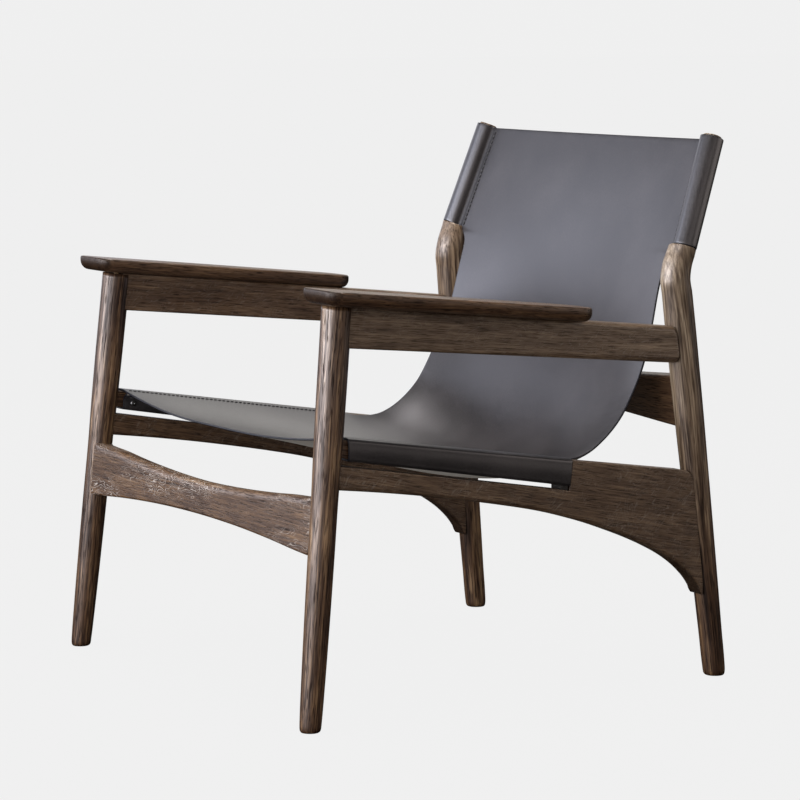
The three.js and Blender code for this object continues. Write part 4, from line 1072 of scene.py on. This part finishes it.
def panel_point(y, c):
    """Point on the grain side of the seat panel at layout y, c outboard of the side plane."""
    row = int(np.argmin(np.abs(edge[rows_c[0]:, 1] - y))) + rows_c[0]
    lo = max(rows_c[0], row - 1)
    best = None
    out = []
    for i in (lo, min(lo + 2, R - 1)):
        line = grid[i, W + len(tt) // 2:W + len(tt)]
        cc = line[:, 0] - side_x(line[:, 1], line[:, 2])
        k = int(np.searchsorted(cc, c))
        k = min(max(k, 1), len(cc) - 1)
        t_ = (c - cc[k - 1]) / (cc[k] - cc[k - 1])
        out.append(line[k - 1] + (line[k] - line[k - 1]) * t_)
    a_, b_ = out
    t_ = (y - a_[1]) / (b_[1] - a_[1])
    return a_ + (b_ - a_) * t_


rows = []
SEAM_C = -17.0
for y in np.arange(64.0, 392.0, 6.6):
    p0, p1 = panel_point(y, SEAM_C), panel_point(y + 4.6, SEAM_C)
    pin = panel_point(y, SEAM_C - 2)
    n_ = np.cross(p1 - p0, pin - p0)
    n_ /= np.linalg.norm(n_)
    if n_[2] < 0:
        n_ = -n_
    rows.append((p0, p1, n_))
seam("seat", rows, ["seat_seam_thread_left", "seat_seam_thread_right"])


# ------------------------------------------------------------------ screws and rest pads
def screw(y, target):
    z = bar_bot(y) + 7.5
    c0 = -13.9
    prof = [(1.5, -4.0), (1.5, -0.2), (3.6, 0.0), (4.0, 0.12), (4.05, 0.45), (3.9, 0.9), (3.5, 1.35), (2.9, 1.68), (2.2, 1.86), (1.75, 1.92), (1.6, 1.88), (1.5, 1.7), (1.45, 0.9), (0.2, 0.85)]
    rings_ = []
    for r, d in prof:
        a = 2 * math.pi * np.arange(36) / 36
        x = side_x(y, z) + c0 - d
        rings_.append(np.stack([np.full(36, x), y + r * np.cos(a), z + r * np.sin(a)], 1))
    v_, f_ = loft(rings_)
    f_ = turned_out(v_ - v_.mean(0), f_)
    for k, t_ in enumerate(target):
        vv, ff = (v_, f_) if k == 0 else mirrored(v_, f_)
        rides(mesh_object("domed_" + t_, vv, ff, [STEEL]), "screw", t_)


screw(72, ["sleeve_screw_front_left", "sleeve_screw_front_right"])
screw(364, ["sleeve_screw_rear_left", "sleeve_screw_rear_right"])

ya, yb = 384.6, 396.6
outline = np.array([[ya, rail_top(ya) + 0.1], [yb, rail_top(yb) + 0.1], [yb, bar_bot(yb) - 3.2], [ya, bar_bot(ya) - 3.2]])
v, f, _ = board(outline, 11.5, side_place, np.full(4, 0.9), steps=4)
f = turned_out(v, f)
for k, t_ in enumerate(["seat_bar_rest_left", "seat_bar_rest_right"]):
    vv, ff = (v, f) if k == 0 else mirrored(v, f)
    rides(mesh_object("pad_" + t_, vv, ff, [PAD]), "pad", t_)

for name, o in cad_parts.items():
    if o.hide_render:
        continue
    o.data.materials.clear()
    o.data.materials.append(BEECH)

# ------------------------------------------------------------------ floor, light and camera
PALE = 0.866
n = Nodes("pale_floor")
floor_mat = n.finish(rgb(0.004, 0.004, 0.004), 0.95, None, Specular_IOR_Level=0.0, Emission_Color=rgb(1, 1, 1), Emission_Strength=PALE - 0.003)
me = bpy.data.meshes.new("floor")
me.from_pydata([(-60, -60, 0), (60, -60, 0), (60, 60, 0), (-60, 60, 0)], [], [(0, 1, 2, 3)])
me.materials.append(floor_mat)
floor = bpy.data.objects.new("floor", me)
bpy.context.scene.collection.objects.link(floor)
floor.visible_diffuse = False
floor.visible_glossy = False

world = bpy.data.worlds.new("studio")
bpy.context.scene.world = world
world.use_nodes = True
wt = world.node_tree
wt.nodes.clear()
seen = wt.nodes.new("ShaderNodeBackground")
seen.inputs["Color"].default_value = (1, 1, 1, 1)
seen.inputs["Strength"].default_value = PALE
fill = wt.nodes.new("ShaderNodeBackground")
fill.inputs["Color"].default_value = (1, 1, 1, 1)
fill.inputs["Strength"].default_value = 0.006
path = wt.nodes.new("ShaderNodeLightPath")
pick = wt.nodes.new("ShaderNodeMixShader")
wt.links.new(path.outputs["Is Camera Ray"], pick.inputs[0])
wt.links.new(fill.outputs[0], pick.inputs[1])
wt.links.new(seen.outputs[0], pick.inputs[2])
wout = wt.nodes.new("ShaderNodeOutputWorld")
wt.links.new(pick.outputs[0], wout.inputs["Surface"])


def area_light(name, az, el, dist, size, power, color=(1, 1, 1), target=(0, 0, 0.4)):
    """A softbox at azimuth az (0 is in front of the chair, 90 on the sitter's left), looking at target."""
    a_, e_ = math.radians(az), math.radians(el)
    loc = Vector(target) + dist * Vector((math.sin(a_) * math.cos(e_), -math.cos(a_) * math.cos(e_), math.sin(e_)))
    d = bpy.data.lights.new(name, "AREA")
    d.shape = "RECTANGLE"
    d.size, d.size_y = size
    d.energy = power
    d.color = color
    o = bpy.data.objects.new(name, d)
    bpy.context.scene.collection.objects.link(o)
    o.location = loc
    o.rotation_mode = "QUATERNION"
    o.rotation_quaternion = (Vector(target) - loc).to_track_quat("-Z", "Y")
    o.visible_camera = False
    return o


COOL, BLUE, WARM, PLAIN = (0.96, 0.96, 1.0), (0.88, 0.90, 1.0), (1.0, 0.89, 0.80), (1.0, 0.97, 0.92)
for name, az, el, dist, size, power, color in (
        ("front_left", -15, 12, 3.0, (1.5, 1.5), 64, COOL), ("front_right", 15, 12, 3.0, (1.5, 1.5), 64, COOL),
        ("near_left", -38, 24, 1.7, (0.9, 0.9), 5, (0.80, 0.87, 1.0)),
        ("left", -45, 12, 3.0, (1.5, 1.5), 13, BLUE), ("right", 45, 12, 3.0, (1.5, 1.5), 15, WARM),
        ("far_left", -88, 12, 3.0, (2.6, 1.5), 14, BLUE), ("rear_left", -134, 29, 3.0, (2.2, 2.4), 15.5, PLAIN),
        ("far_right", 90, 12, 3.0, (2.6, 1.5), 8, WARM), ("rear_right", 150, 12, 3.0, (2.6, 1.5), 13, WARM),
        ("top", 0, 89, 3.0, (2.2, 2.2), 150, PLAIN)):
    area_light(name, az, el, dist, size, power, color)
# light thrown back by the ground
bounce = area_light("ground_bounce", 0, -90, 0.397, (3.0, 3.0), 7, (1.0, 0.985, 0.96))
bounce.visible_glossy = False

AZ, EL, DIST = math.radians(58.889), math.radians(6.725), 4.4397
back = Vector((math.sin(AZ) * math.cos(EL), -math.cos(AZ) * math.cos(EL), math.sin(EL)))
cam_data = bpy.data.cameras.new("camera")
cam = bpy.data.objects.new("camera", cam_data)
bpy.context.scene.collection.objects.link(cam)
cam.location = (3.77494, -2.273788, 0.883184)
cam.rotation_mode = "QUATERNION"
cam.rotation_quaternion = (-back).to_track_quat("-Z", "Y")
cam_data.sensor_width = 36.0
cam_data.lens = 145.606
cam_data.clip_start, cam_data.clip_end = 0.05, 100.0
bpy.context.scene.camera = cam
bpy.context.scene.view_settings.view_transform = "Standard"
bpy.context.scene.view_settings.look = "None"
bpy.context.scene.view_settings.exposure = 0.0
bpy.context.scene.view_settings.gamma = 1.0
